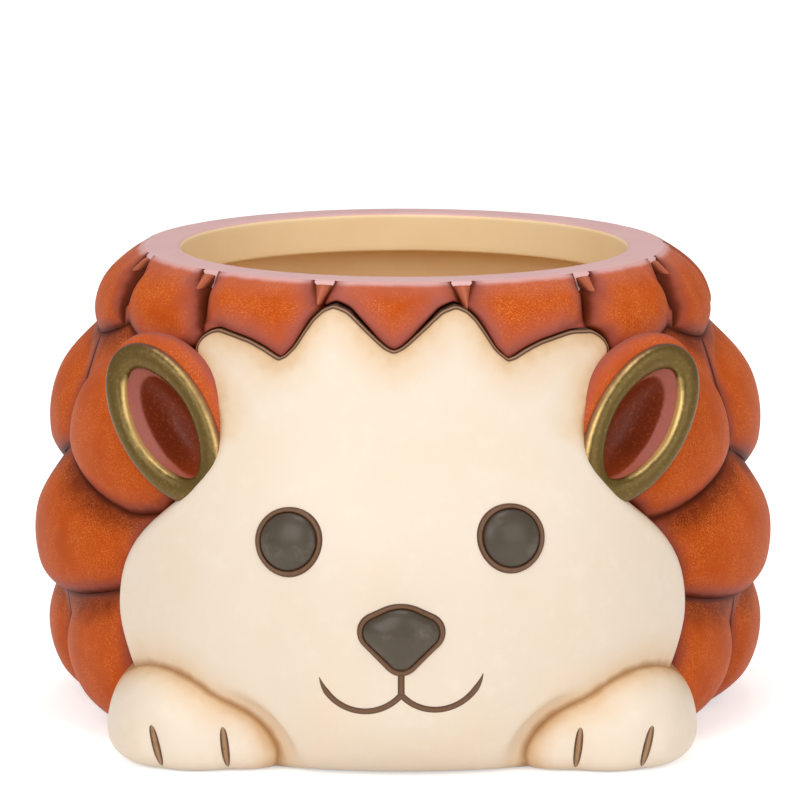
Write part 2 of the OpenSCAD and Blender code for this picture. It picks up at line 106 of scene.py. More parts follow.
def linear(hex_colour):
    """A colour written as sRGB hex, as the linear values that a shader takes"""
    channels = [int(hex_colour[i : i + 2], 16) / 255 for i in (1, 3, 5)]
    return [c / 12.92 if c <= 0.04045 else ((c + 0.055) / 1.055) ** 2.4 for c in channels] + [1.0]


def colour(name, description, hex_colour):
    """A glaze's colour"""
    return bpy.props.FloatVectorProperty(
        name=name, description=description, size=4, min=0, max=1, subtype="COLOR", default=linear(hex_colour)
    )


class PotSizes(bpy.types.PropertyGroup):
    mouth_radius: length("Mouth radius", "Inner radius of the collar", MOUTH_RADIUS)
    rim_radius: length("Rim radius", "Outer radius of the flat rim", RIM_RADIUS)
    height: length("Height", "Height of the rim", POT_HEIGHT)
    collar_bottom: length("Collar", "Height at which the collar begins", COLLAR_BOTTOM)
    neck_radius: length("Neck radius", "Radius of the wall below the rim", RIM_RADIUS - 2.1 * MM)
    belly_radius: length("Belly radius", "Radius of the wall where it is widest", BELLY_RADIUS)
    belly_height: length("Belly height", "Height at which the wall is widest", 45 * MM)
    base_radius: length("Base radius", "Radius of the wall on the floor", 73 * MM)
    wall: length("Wall", "Thickness of the wall", 6 * MM)
    floor: length("Floor", "Height of the floor inside", FLOOR_TOP)
    foot_width: length("Foot ring", "Width of the ring that the floor stands on", 12 * MM)
    foot_recess: length("Recess", "Depth of the recess inside the foot ring", 2 * MM)
    rim_soft: length("Rim edge", "Radius of the rim's outer edge", 2.2 * MM)


class CoatSizes(bpy.types.PropertyGroup):
    crown_count: bpy.props.IntProperty(name="Crown quills", description="Quills round the rim", default=14)
    row_count: bpy.props.IntProperty(name="Quills in a row", description="Quills in a lower row", default=7)
    crown_drop: length("Crown drop", "How far the crown quills hang below the rim", 20 * MM)
    crown_proud: length("Crown stands out", "How far the crown quills stand out", 6 * MM)
    upper_tip: length("Upper tips", "Height of the tips of the upper quills", 58 * MM)
    middle_tip: length("Middle tips", "Height of the tips of the middle quills", 32 * MM)
    proud: length("Stands out", "How far the lower rows stand out from the wall", 10 * MM)
    crown_notch: length("Crown notch", "Rise from a crown quill's tip to the notch beside it", 5 * MM)
    notch: length("Notch", "Rise from a quill's tip to the notch beside it", 11 * MM)
    crease: length("Crease", "Height of the creases above the wall", 3.2 * MM)
    lean: angle("Lean", "How far the quills close in on the face", 4)
    rim_lean: angle("Lean at the rim", "How far the crown quills spread at the rim", 8)
    turn: angle("Turn", "Turn of the whole coat round the pot", -2)
    tuft_drop: length("Tuft", "Depth of the tufts in the notches of the rim", 5 * MM)
    tuft_half: angle("Half tuft", "Half the angle that a tuft takes up", 2.2)


class HeadSizes(bpy.types.PropertyGroup):
    skull_radius: length("Skull radius", "Radius of the head, seen from the front", 75 * MM)
    skull_depth: length("Skull depth", "Depth of the head in front of its middle", 67 * MM)
    skull_y: length("Skull forward", "Distance of the head's middle in front of the axis", 35 * MM)
    skull_z: length("Skull height", "Height of the head's middle", 38 * MM)
    muzzle_radius: length("Muzzle radius", "Radius of the muzzle, seen from the front", 30 * MM)
    muzzle_depth: length("Muzzle depth", "Depth of the muzzle in front of its middle", 28 * MM)
    muzzle_y: length("Muzzle forward", "Distance of the muzzle's middle in front of the axis", 80 * MM)
    muzzle_z: length("Muzzle height", "Height of the muzzle's middle", 33 * MM)
    brow: length("Brow", "How far the brow stands out from the wall", 5.5 * MM)
    blend: length("Blend", "Reach of the soft joins between skull, muzzle and brow", 9 * MM)
    chin_y: length("Chin", "Distance of the chin's foot in front of the axis", 83 * MM)
    chin_rise: length("Chin rise", "Height of the rounding below the chin", 16 * MM)
    cheek_angle: angle("Cheek", "Angle from the middle of the face to a cheek's edge", 51.3)
    turn: angle("Turn", "Turn of the hairline round the pot", -1.4)
    roll: length("Roll", "Radius of the face's edge beside the quills", 5 * MM)
    hair_roll: length("Roll at the hair", "Radius of the face's edge below the crown", 1.3 * MM)
    groove: length("Groove", "Depth of the groove along the hairline", 0.9 * MM)


class FaceSizes(bpy.types.PropertyGroup):
    eye_radius: length("Eye", "Radius of an eye", 7.1 * MM)
    eye_x: length("Eye apart", "Distance of an eye from the middle of the face", 26.7 * MM)
    eye_aside: length("Eyes aside", "How far both eyes sit to the left", 0.4 * MM)
    eye_z: length("Eye height", "Height of an eye", 58.9 * MM)
    eye_lift: length("Eye lift", "How much the right eye sits higher and the left one lower", 0.5 * MM)
    eye_bulge: length("Eye bulge", "How far an eye bulges", 2.6 * MM)
    ring: length("Ring", "Width of the brown ring round an eye and the nose", 1.5 * MM)
    nose_width: length("Nose width", "Width of the nose with its edge", 21 * MM)
    nose_height: length("Nose height", "Height of the nose with its edge", 17.5 * MM)
    nose_z: length("Nose", "Height of the middle of the nose", 36 * MM)
    nose_bulge: length("Nose bulge", "How far the nose bulges", 3.6 * MM)
    smile_radius: length("Smile", "Radius of each half of the smile", 11.4 * MM)
    smile_tilt: angle("Smile tilt", "How far the smile rises to the right", 1.5)
    line: length("Line", "Width of the mouth line", 1.5 * MM)


class EarSizes(bpy.types.PropertyGroup):
    half_length: length("Half length", "Half length of an ear", 22 * MM)
    half_width: length("Half width", "Half width of an ear", 12.5 * MM)
    bead: length("Gold edge", "Thickness of the gold edge", 4.4 * MM)
    flange: length("Flange", "How far the clay stands out beside the gold edge, towards the face", 3.4 * MM)
    band: length("Band", "Width of the gold edge at the ear's sides", 5 * MM)
    band_more: length("Band at the ends", "How much wider the gold edge is at the ear's ends", 1.4 * MM)
    distance: length("Distance", "Distance of an ear's middle from the axis", 89 * MM)
    height: length("Height", "Height of an ear's middle", 82.5 * MM)
    azimuth: angle("Place", "Angle of an ear's middle round the pot", 40.5)
    facing: angle("Facing", "Turn of an ear's open side", 20)
    roll: angle("Roll", "How far an ear leans outwards", 38)
    pitch: angle("Pitch", "How far an ear leans back", -12)


class PawSizes(bpy.types.PropertyGroup):
    radius: length("Radius", "Radius of a paw, seen from the front", 18.5 * MM)
    half_length: length("Half length", "Half length of a paw", 27 * MM)
    x: length("Apart", "Distance of a paw's middle from the middle of the face", 53.5 * MM)
    y: length("Forward", "Distance of a paw's middle in front of the axis", 60 * MM)
    z: length("Height", "Height of a paw's middle", 7.5 * MM)
    leg: length("Leg", "Radius of the foreleg beside the paw, seen from the front", 22 * MM)
    leg_x: length("Leg apart", "Distance of the foreleg's middle from the middle of the face", 45 * MM)
    leg_y: length("Leg forward", "Distance of the foreleg's middle in front of the axis", 63 * MM)
    power: number("Fullness", "Power of a paw's outline", 2.4)
    leg_power: number("Leg fullness", "Power of a leg's outline", 2.8)
    blend: length("Blend", "Reach of the soft join of paw and leg", 10 * MM)
    edge: length("Edge", "Reach of the paw's rounded edge on the floor", 7 * MM)
    hollow: length("Hollow", "Depth of the hollow in the head behind a foreleg", 8 * MM)
    hollow_radius: length("Hollow radius", "Radius of that hollow, seen from the front", 20 * MM)
    toe_length: length("Toe line", "Length of a line between the toes", 12.5 * MM)
    toe_width: length("Toe line width", "Width of a line between the toes", 2 * MM)


class GlazeColours(bpy.types.PropertyGroup):
    cream: colour("Cream", "Face and paws", "#F1E0CC")
    # The tan is also painted shade where the paws meet the head
    tan: colour("Tan", "Wash along the hairline and on the paws", "#D8AE7C")
    orange: colour("Orange", "Middle of the quills", "#BE4E10")
    coral: colour("Coral", "Speckle on the quills", "#E67C3C")
    # The mauve is partly the glaze's colour and partly painted sheen on the lips
    mauve: colour("Mauve", "Lips of the quills", "#A05850")
    # The umber is the darkest painted shade in the creases, in the dark line of each joint
    umber: colour("Umber", "Creases between the quills", "#561E08")
    rim: colour("Rim", "The flat rim", "#E6B6B2")
    inside: colour("Inside", "Collar and inside of the pot", "#FFE2B2")
    dark: colour("Dark", "Eyes and nose", "#483C2C")
    brown: colour("Brown", "Drawn lines", "#54301A")
    gold: colour("Gold", "Edge of the ears", "#66501E")
    clay: colour("Clay", "Unglazed foot", "#D8C3A2")


class StudioSettings(bpy.types.PropertyGroup):
    distance: length("Camera distance", "Distance of the camera in front of the axis", 1.6)
    pitch: angle("Camera pitch", "How far the camera looks down", 9.5)
    orbit: angle("Camera orbit", "How far the camera stands round the pot", 0.4)
    height: length("Camera height", "Height of the camera", 0.3447)
    aside: length("Camera aside", "How far the camera stands to the left", 1.0 * MM)
    lens: number("Lens", "Focal length in millimetres", 288)
    key: number("Key light", "Power of the key light in watts", 13)
    fill: number("Fill light", "Power of the fill light in watts", 8)
    top: number("Top light", "Power of the top light in watts", 5)
    sky: number("Sky", "Strength of the white room", 0.48)


SETTINGS = {
    "planter_pot": PotSizes,
    "planter_coat": CoatSizes,
    "planter_head": HeadSizes,
    "planter_face": FaceSizes,
    "planter_ears": EarSizes,
    "planter_paws": PawSizes,
    "planter_glaze": GlazeColours,
    "planter_studio": StudioSettings,
}


# Meshes


def grid_faces(rows, columns):
    """Quads of a grid that is numbered row by row"""
    row, column = np.meshgrid(np.arange(rows - 1), np.arange(columns - 1), indexing="ij")
    first = (row * columns + column).ravel()
    return np.stack([first, first + 1, first + columns + 1, first + columns], axis=1).tolist()


def shell_faces(rows, columns):
    """Quads of a closed shell: a grid in front, a grid behind it and the wall between their borders"""
    count = rows * columns
    front = grid_faces(rows, columns)
    back = [[index + count for index in reversed(face)] for face in front]
    number = np.arange(count).reshape(rows, columns)
    border = [number[0, :-1], number[:-1, -1], number[-1, :0:-1], number[:0:-1, 0]]
    border = np.concatenate(border).tolist()
    pairs = zip(border, border[1:] + border[:1])
    return front + back + [[after, before, before + count, after + count] for before, after in pairs]


def skin_faces(rings, spokes):
    """Faces of a closed skin: a pole, rings of points and a second pole. The poles come first and last."""
    first = 1 + np.arange(rings * spokes).reshape(rings, spokes)
    last = rings * spokes + 1
    near = [[0, first[0, i], first[0, (i + 1) % spokes]] for i in range(spokes)]
    after = np.roll(first, -1, axis=1)
    quads = np.stack([first[:-1], first[1:], after[1:], after[:-1]], axis=-1).reshape(-1, 4)
    far = [[last, first[-1, (i + 1) % spokes], first[-1, i]] for i in range(spokes)]
    return [[int(i) for i in face] for face in near + quads.tolist() + far]


def tube_faces(rings, sides):
    """Quads of a closed tube: rings of points, the last of which meets the first"""
    number = np.arange(rings * sides).reshape(rings, sides)
    after = np.roll(number, -1, axis=0)
    corners = [number, np.roll(number, -1, axis=1), np.roll(after, -1, axis=1), after]
    return np.stack(corners, axis=-1).reshape(-1, 4).tolist()


def signed_volume(points, faces):
    """The volume inside a closed mesh, below zero where its faces point inwards"""
    total = 0.0
    for size in (3, 4):
        corners = np.array([face for face in faces if len(face) == size])
        if len(corners):
            for i in range(1, size - 1):
                a, b, c = (points[corners[:, j]] for j in (0, i, i + 1))
                total += np.einsum("ij,ij->", a, np.cross(b, c)) / 6
    return total


def outwards(points, faces):
    """A closed mesh's faces, turned outwards"""
    return faces if signed_volume(points, faces) > 0 else [list(reversed(face)) for face in faces]


def combined(parts):
    """Closed parts, each with its points, faces and marks, as the points, faces and marks of one mesh"""
    faces, count = [], 0
    for points, part_faces, _ in parts:
        faces += [[index + count for index in face] for face in outwards(points, part_faces)]
        count += len(points)
    return np.vstack([part[0] for part in parts]), faces, np.concatenate([part[2] for part in parts])


def make_mesh(name, points, faces, marks):
    """A smooth mesh with its faces outwards. Marks are numbers at its points, which the glaze reads."""
    mesh = bpy.data.meshes.new(name)
    mesh.from_pydata(points.tolist(), [], outwards(points, faces))
    for mark, values in marks.items():
        layer = mesh.attributes.new(mark, "FLOAT", "POINT")
        layer.data.foreach_set("value", np.asarray(values, np.float32).ravel())
    mesh.shade_smooth()
    return mesh


def make_piece(name, points, faces, material, node, marks=None):
    """Makes a piece, lets it stand for a node of the frame and gives it its finish"""
    mesh = make_mesh(name, np.asarray(points, float).reshape(-1, 3), faces, marks or {})
    mesh.materials.append(material)
    piece = bpy.data.objects.new(name, mesh)
    bpy.context.scene.collection.objects.link(piece)
    return adopt(piece, node)


def adopt(piece, node):
    """Lets a finished piece stand for a node of the frame"""
    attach(piece, "root")
    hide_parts(node)
    return piece


def circle(count):
    """Even angles all round, without the first one again at the end"""
    return np.linspace(0, TAU, count, endpoint=False)


def unit_normals(x, y):
    """The unit directions to the right of a line of a plane, from its steps along x and y"""
    reach = np.hypot(x, y)
    return np.stack([y / reach, -x / reach], axis=1)


def arc(centre, radius, start, stop, steps):
    """Points of an arc in the plane of a profile, with its angles in degrees"""
    turns = np.radians(np.linspace(start, stop, steps))
    return [[centre[0] + radius * math.cos(t), centre[1] + radius * math.sin(t)] for t in turns]


def turned(profile, segments):
    """Points of a profile of (radius, height) that is turned about the pot's axis, ring after ring"""
    profile = np.array(profile)
    turns = circle(segments)[:, None]
    radius, height = profile[:, 0][None], profile[:, 1][None]
    return np.stack([radius * np.sin(turns), -radius * np.cos(turns), height + 0 * turns], axis=-1)


def on_pot(turn, radius, height):
    """Points at an angle from the middle of the face, a distance from the axis and a height"""
    turn, radius, height = np.broadcast_arrays(turn, radius, height)
    return np.stack([radius * np.sin(turn), -radius * np.cos(turn), height], axis=-1)


def eased(count, ease):
    """Shares from 0 to 1 that lie closer together at both ends"""
    t = np.linspace(0, 1, count)
    return t - ease * np.sin(TAU * t) / TAU


def evenly(loop, count):
    """A closed line of points, spaced evenly"""
    loop = np.vstack([loop, loop[:1]])
    along = np.concatenate([[0], np.cumsum(np.linalg.norm(np.diff(loop, axis=0), axis=1))])
    spots = np.linspace(0, along[-1], count, endpoint=False)
    return np.stack([np.interp(spots, along, loop[:, 0]), np.interp(spots, along, loop[:, 1])], axis=1)


def distance_to(points, line):
    """The distance of each point of a plane from a line of points"""
    nearest = np.full(len(points), np.inf)
    for start, stop in zip(line[:-1], line[1:]):
        along = stop - start
        offset = points - start
        share = np.clip(offset @ along / max(along @ along, 1e-18), 0, 1)
        nearest = np.minimum(nearest, np.linalg.norm(offset - share[:, None] * along, axis=1))
    return nearest


def rolled(distance, roll):
    """Height of a rounded edge, from 0 at the edge to 1 where the rounding ends"""
    rest = 1 - np.clip(distance / roll, 0, 1)
    return np.sqrt(1 - rest * rest)


# The pot's wall and the lines on it


# How fast the wall draws in above and below the belly, and how round the tips of the rows are
SHOULDER_POWER = 1.9
FOOT_POWER = 2.3
SCALLOP_POWER = 1.5
# A part that lies on another sinks into it by this much, so that no gap shows
SUNK = 0.5 * MM


def wall_radius(pot, height):
    """Radius of the wall outside: a belly with a shoulder above it and a foot below it"""
    above = np.clip((height - pot.belly_height) / (pot.height - pot.belly_height), 0, None)
    below = np.clip(1 - np.maximum(height, 0) / pot.belly_height, 0, None)
    shoulder = (pot.belly_radius - pot.neck_radius) * above**SHOULDER_POWER
    foot = (pot.belly_radius - pot.base_radius) * below**FOOT_POWER
    return pot.belly_radius - shoulder - foot


def leaned(coat, turn):
    """The angle on the pot of an angle on the coat, which closes in on the face"""
    return turn - np.where(np.cos(turn) > 0, coat.lean * np.sin(2 * turn), 0) + coat.turn


def at_rim(coat, turn):
    """The angle at the rim of an angle on the coat"""
    return turn + coat.rim_lean * np.sin(turn) + coat.turn


def unleaned(coat, turn):
    """The angle on the coat of an angle on the pot"""
    quarter_degrees = 4 * 720
    table = np.linspace(-TAU, TAU, quarter_degrees + 1)
    return np.interp(turn, leaned(coat, table), table)


def scallop(coat, turn, count, tip, notch, shift):
    """Height of a line of scallops, where `shift` is 0.5 with a tip over the middle of the face"""
    phase = unleaned(coat, turn) * count / TAU + shift
    off_tip = np.abs(2 * (phase - np.floor(phase)) - 1)
    return tip + notch * off_tip**SCALLOP_POWER


def crown_line(pot, coat, turn):
    """Height of the crown's lower edge, with a tip over the middle of the face"""
    tip = pot.height - coat.crown_drop
    return scallop(coat, turn, coat.crown_count, tip, coat.crown_notch, 0.5)


def upper_line(coat, turn):
    """Height of the upper row's lower edge, with a tip over the middle of the face"""
    return scallop(coat, turn, coat.row_count, coat.upper_tip, coat.notch, 0.5)


def middle_line(coat, turn):
    """Height of the middle row's lower edge, half a quill further on and with flatter notches"""
    return scallop(coat, turn, coat.row_count, coat.middle_tip, 0.7 * coat.notch, 0.0)


# The face's outline as [share of the cheek's angle, share of the pot's height], up the right side
CHEEK_SHARES = [
    [0.78, -0.06], [0.86, 0.06], [0.925, 0.17], [0.96, 0.23], [0.985, 0.29], [0.98, 0.345],
    [0.96, 0.40], [0.915, 0.45], [0.85, 0.495], [0.76, 0.54], [0.69, 0.58], [0.635, 0.625],
    [0.615, 0.67], [0.625, 0.715], [0.655, 0.755], [0.71, 0.79], [0.765, 0.825], [0.79, 0.85],
    [0.775, 0.877], [0.73, 0.895], [0.70, 0.899],
]
# The hairline from the right tuft to the middle: the brow runs up in peaks between the crown's tips
HAIR_SHARES = [
    [0.655, 0.899], [0.61, 0.894], [0.53, 0.884], [0.465, 0.870], [0.40, 0.850], [0.363, 0.873],
    [0.335, 0.904], [0.307, 0.931], [0.27, 0.952], [0.225, 0.962], [0.168, 0.951], [0.123, 0.929],
    [0.07, 0.902], [0.027, 0.880], [0, 0.872],
]


def softened(line, cuts):
    """A line of points with its corners cut, once for each share of the sides. Its ends stay."""
    for cut in cuts:
        near = (1 - cut) * line[:-1] + cut * line[1:]
        far = cut * line[:-1] + (1 - cut) * line[1:]
        inner = np.stack([near, far], axis=1).reshape(-1, 2)
        line = np.vstack([line[:1], inner[1:-1], line[-1:]])
    return line


def face_lines(scene):
    """The right cheek's line, upwards, the hairline, from right to left, and the left cheek's line,
    downwards, as [angle, height]"""
    pot, head = scene.planter_pot, scene.planter_head
    size = np.array([head.cheek_angle, pot.height])
    cheek = np.array(CHEEK_SHARES) * size
    half = np.array(HAIR_SHARES) * size
    right = half + [head.turn, 0]
    left = half[-2::-1] * [-1, 1] + [head.turn, 0]
    side = softened(cheek, (0.25, 0.25))
    hair = softened(np.vstack([cheek[-1:], right, left, cheek[-1:] * [-1, 1]]), (0.12, 0.25))
    return side, hair, side[::-1] * [-1, 1]


# Solids of the head and the paws, as distances that are below zero inside


def egg_distance(points, middle, radius, half_length, power=2.0):
    """Nearly the distance of points from an egg that is turned about a line along Y. Power 2 is an ellipse,
    and a higher one is fuller."""
    offset = points - np.array(middle)
    round_it = np.hypot(offset[..., 0], offset[..., 2]) / radius
    along = np.abs(offset[..., 1]) / half_length
    reach = np.maximum(round_it**power + along**power, 1e-12) ** (1 / power)
    slope = np.hypot(round_it ** (power - 1) / radius, along ** (power - 1) / half_length)
    return (reach - 1) / np.maximum(slope * reach ** (1 - power), 1e-9)


def soft_union(a, b, blend):
    """The nearer of two solids, with a soft join"""
    share = np.clip(0.5 + 0.5 * (b - a) / blend, 0, 1)
    return b + (a - b) * share - blend * share * (1 - share)


def soft_cut(a, b, blend):
    """What two solids have in common, with a rounded edge"""
    return -soft_union(-a, -b, blend)


def on_right(points):
    """The points, and those on the left as their mirror images"""
    return np.stack([np.abs(points[..., 0]), points[..., 1], points[..., 2]], axis=-1)


def head_distance(scene, points):
    """Distance from the head: skull, muzzle and brow in one soft form that is rounded in below the chin"""
    pot, head = scene.planter_pot, scene.planter_head
    skull = egg_distance(points, (0, -head.skull_y, head.skull_z), head.skull_radius, head.skull_depth)
    muzzle_middle = (0, -head.muzzle_y, head.muzzle_z)
    muzzle = egg_distance(points, muzzle_middle, head.muzzle_radius, head.muzzle_depth)
    out = np.hypot(points[..., 0], points[..., 1])
    height = points[..., 2]
    brow = out - wall_radius(pot, height) - head.brow
    form = soft_union(soft_union(skull, muzzle, head.blend), brow, head.blend)
    hollow_edge, chin_edge = 3 * MM, 5 * MM
    form = soft_cut(form, -paw_hollow(scene, points), hollow_edge)
    low = 1 - np.clip(height / head.chin_rise, 0, 1)
    chin = head.chin_y + 1.2 * head.chin_rise * np.sqrt(1 - low * low)
    return np.maximum(soft_cut(form, out - chin, chin_edge), -height)


def paw_hollow(scene, points):
    """Distance from the shallow hollows in the head behind the two forelegs"""
    paw = scene.planter_paws
    front = paw.leg_y + paw.half_length
    return egg_distance(on_right(points), (paw.leg_x, -front, 0), paw.hollow_radius, paw.hollow)


def paw_distance(scene, points):
    """Distance from the right paw with its foreleg, which stand flat on the floor"""
    paw = scene.planter_paws
    body = egg_distance(points, (paw.x, -paw.y, paw.z), paw.radius, paw.half_length, paw.power)
    leg = egg_distance(points, (paw.leg_x, -paw.leg_y, 0), paw.leg, paw.half_length, paw.leg_power)
    form = soft_union(body, leg, paw.blend)
    return soft_cut(form, -points[..., 2], paw.edge)


def outermost(distance, start, direction, near, far, steps=48, rounds=24):
    """Where rays leave a solid for the last time, as distances along them. Steps find the last place that is
    inside it, and each round of halving brings the skin nearer."""
    inside = np.full(direction.shape[:-1], float(near))
    for t in np.linspace(near, far, steps):
        hit = distance(start + direction * t) < 0
        inside = np.where(hit, t, inside)
    outside = inside + (far - near) / (steps - 1)
    for _ in range(rounds):
        middle = (inside + outside) / 2
        hit = distance(start + direction * middle[..., None]) < 0
        inside = np.where(hit, middle, inside)
        outside = np.where(hit, outside, middle)
    return (inside + outside) / 2


# Materials


def add_node(tree, kind, inputs=None, **settings):
    """Adds a node to a tree, sets its properties, and links or sets its sockets"""
    node = tree.nodes.new(kind)
    for name, value in settings.items():
        setattr(node, name, value)
    for key, value in (inputs or {}).items():
        if isinstance(value, bpy.types.NodeSocket):
            tree.links.new(value, node.inputs[key])
        else:
            node.inputs[key].default_value = value
    return node


def calc(tree, operation, *values):
    """Adds one step of arithmetic to a tree"""
    return add_node(tree, "ShaderNodeMath", dict(enumerate(values)), operation=operation).outputs["Value"]


def noise(tree, place, size, detail, roughness=0.6):
    """A noise with patches of about a size"""
    inputs = {"Vector": place, "Scale": 1 / size, "Detail": detail, "Roughness": roughness}
    return add_node(tree, "ShaderNodeTexNoise", inputs).outputs["Fac"]


def between(tree, value, low, high):
    """Runs softly from 0 to 1 between two levels of a value"""
    inputs = {"Value": value, "From Min": low, "From Max": high}
    return add_node(tree, "ShaderNodeMapRange", inputs, interpolation_type="SMOOTHSTEP").outputs["Result"]


def clouds(size, low, high, detail=3.0):
    """A mask of soft patches of about a size, from 0 to 1 between two levels of a noise"""
    return lambda tree, place: between(tree, noise(tree, place, size, detail), low, high)


def flecks(tree, place):
    """A mask of flecks 0.36 mm across, which thin out between patches 9 mm across"""
    fine, broad = clouds(0.36 * MM, 0.44, 0.64, 2.0), clouds(9 * MM, 0.25, 0.65)
    return calc(tree, "MULTIPLY", fine(tree, place), broad(tree, place))


def wash(mark, full, gone, waver, size=6 * MM):
    """A mask that is full where a mark on the surface reads `full`, and gone at `gone`. Its edge wavers."""

    def mask(tree, place):
        reading = add_node(tree, "ShaderNodeAttribute", attribute_name=mark).outputs["Fac"]
        moved = calc(tree, "MULTIPLY_ADD", noise(tree, place, size, 4.0, 0.5), 2 * waver, reading)
        return between(tree, moved, gone + waver, full + waver)

    return mask


def glaze(name, ground, layers, roughness, grain, relief, **finish):
    """A glazed or painted surface: a ground colour under layers of (mask, strength, colour), and the relief
    of a fine noise"""
    material = bpy.data.materials.new(name)
    material.use_nodes = True
    tree = material.node_tree
    shader = tree.nodes["Principled BSDF"]
    place = add_node(tree, "ShaderNodeTexCoord").outputs["Object"]
    paint = ground
    for mask, strength, shade in layers:
        share = calc(tree, "MULTIPLY", mask(tree, place), strength)
        over = linear(shade) if isinstance(shade, str) else shade
        paint = add_node(tree, "ShaderNodeMix", {0: share, 6: paint, 7: over}, data_type="RGBA").outputs[2]
    tree.links.new(paint, shader.inputs["Base Color"])
    shader.inputs["Roughness"].default_value = roughness
    for socket, value in finish.items():
        shader.inputs[socket.replace("_", " ")].default_value = value
    height = noise(tree, place, grain, 3.0)
    bump = add_node(tree, "ShaderNodeBump", {"Height": height, "Distance": relief, "Strength": 1.0})
    tree.links.new(bump.outputs["Normal"], shader.inputs["Normal"])
    return material


def quill_glaze(colours, name, rosy):
    """Stoneware under a satin iron-red glaze. It is thick and orange in the middle of a quill, with a dusty
    mauve over its lips, where the quill turns away, which is partly the glaze breaking thin there and partly
    painted sheen. Painted shade darkens the creases, over a dark line in each joint, and the top of a quill
    below the one above. Fine flecks lie in it. The iron in it takes away most of its mirror, so its specular
    level is low."""
    layers = [
        (clouds(16 * MM, 0.35, 0.7), 0.4, "#CC5A20"),
        # Painted shade on a quill's top, below the quill above it
        (wash("under", 1, 9, 3), 0.9, "#742806"),
        (flecks, 0.7 + 0.15 * rosy, colours.coral),
        # The mauve over the lips: partly the glaze's own colour, partly painted sheen where the quill turns
        # away
        (wash("lip", 1.5, 8, 2.5), 0.3 + 0.4 * rosy, "#B65C48"),
        (wash("lip", 0.8, 3.8, 1.4), 0.7, colours.mauve),
        (wash("rim", 0.3, 5, 1.5), 0.35, "#C87A6C"),
        (wash("rim", 0.1, 1.2, 0.4), 0.8, colours.rim),
        # Painted shade in the creases, deepest in the dark line of each joint
        (wash("crease", 0.5, 5.0, 1.2, 3 * MM), 0.45, "#84341A"),
        (wash("crease", 0.3, 2.0, 0.6, 3 * MM), 0.85, "#702A10"),
        (wash("crease", 0.1, 1.3, 0.3, 3 * MM), 0.97, colours.umber),
    ]
    return glaze(name, colours.orange, layers, 0.48, 0.9 * MM, 0.035 * MM, Specular_IOR_Level=0.05)


def tuft_glaze(colours, name):
    """The quills' glaze on the tufts: a painted highlight along the ridge, and painted shade at the sides and
    the tip, where a tuft goes down into the crease
    """
    layers = [
        # A painted highlight along the ridge, then painted shade at the sides and at the tip
        (wash("across", 0.05, 0.35, 0.1, 2 * MM), 0.5, "#CC7A5C"),
        (wash("across", 0.9, 0.5, 0.1, 2 * MM), 0.9, "#6E2C12"),
        (wash("down", 0.98, 0.75, 0.1, 2 * MM), 0.7, colours.umber),
    ]
    return glaze(name, linear("#B0583A"), layers, 0.48, 0.9 * MM, 0.03 * MM, Specular_IOR_Level=0.18)


def cream_glaze(colours, name):
    """Stoneware under a satin cream glaze, with a tan wash rubbed in along the hairline, and the same tan as
    painted shade where the head and the paws meet. The tan has soft clouds a few millimetres across. A darker
    painted shade lies along the face's edge and in the crease beside the paws. A double brown line runs along
    the face's edge."""
    layers = [
        (clouds(24 * MM, 0.4, 0.75), 0.35, "#F3DABA"),
        (clouds(5 * MM, 0.5, 0.8), 0.18, "#FFF6E6"),
        # Tan wash at the hairline, which beside the paws is painted shade
        (wash("wash", 1, 13, 4, 9 * MM), 0.75, "#E8C79E"),
        (wash("wash", 0.5, 6, 3, 4 * MM), 0.65, colours.tan),
        # Painted shade along the face's rolled edge and in the crease beside a paw
        (wash("shade", 0.0, 2.6, 0.6, 4 * MM), 0.75, "#B07C48"),
        (wash("line", 1.25, 1.55, 0.1, 3 * MM), 0.95, "#4A2A16"),
        (wash("line", 0.85, 1.05, 0.1, 3 * MM), 0.85, "#A87C58"),
        (wash("line", 0.45, 0.65, 0.1, 3 * MM), 0.95, "#4A2A16"),
    ]
    return glaze(name, colours.cream, layers, 0.46, 2.2 * MM, 0.03 * MM)


def brown_line(colours, name, thin="#74502E"):
    """A line of iron-brown slip drawn into the clay: dark at its edges and thin and light along its middle"""
    layers = [
        (wash("across", 0.25, 0.75, 0.08, 1.5 * MM), 0.8, thin),
        (clouds(1.4 * MM, 0.55, 0.75), 0.4, "#3A1E0E"),
    ]
    return glaze(name, colours.brown, layers, 0.40, 0.8 * MM, 0.05 * MM)


def dark_glaze(colours, name):
    """A thick grey-brown glaze on the eyes and the nose, with pale clouds a few millimetres across"""
    layers = [
        (clouds(6 * MM, 0.5, 0.8), 0.5, "#7A6E5E"),
        (wash("across", 0.0, 0.35, 0.05, 3 * MM), 0.6, "#3A2C20"),
    ]
    return glaze(name, colours.dark, layers, 0.42, 3 * MM, 0.03 * MM, Coat_Weight=0.1)


def gold_glaze(colours, name):
    """Bronze-gold lustre brushed over a brown ground: half metallic, with flecks a millimetre across, and a
    painted highlight where the edge faces up and to the left"""
    layers = [
        (clouds(1.0 * MM, 0.5, 0.8), 0.22, "#C9A850"),
        # Painted highlight where the edge faces the light
        (wash("painted_highlight", 0.97, 0.68, 0.10, 2 * MM), 0.9, "#F0CA80"),
        (wash("edge", 0.0, 0.2, 0.05, 2 * MM), 0.8, "#7A4638"),
    ]
    return glaze(name, colours.gold, layers, 0.34, 0.8 * MM, 0.05 * MM, Metallic=0.5)


def ear_glaze(name):
    """The quills' glaze in an ear's bowl: rose on its lip, dark brown where it pools, and orange low down"""
    layers = [
        (wash("deep", 0.31, 0.25, 0.03, 4 * MM), 0.95, "#782C0A"),
        (wash("low", 0.95, 0.6, 0.08, 5 * MM), 0.5, "#A84418"),
        (clouds(0.7 * MM, 0.52, 0.72, 2.0), 0.35, "#C8623A"),
    ]
    return glaze(name, linear("#9E564A"), layers, 0.45, 0.9 * MM, 0.035 * MM, Specular_IOR_Level=0.25)


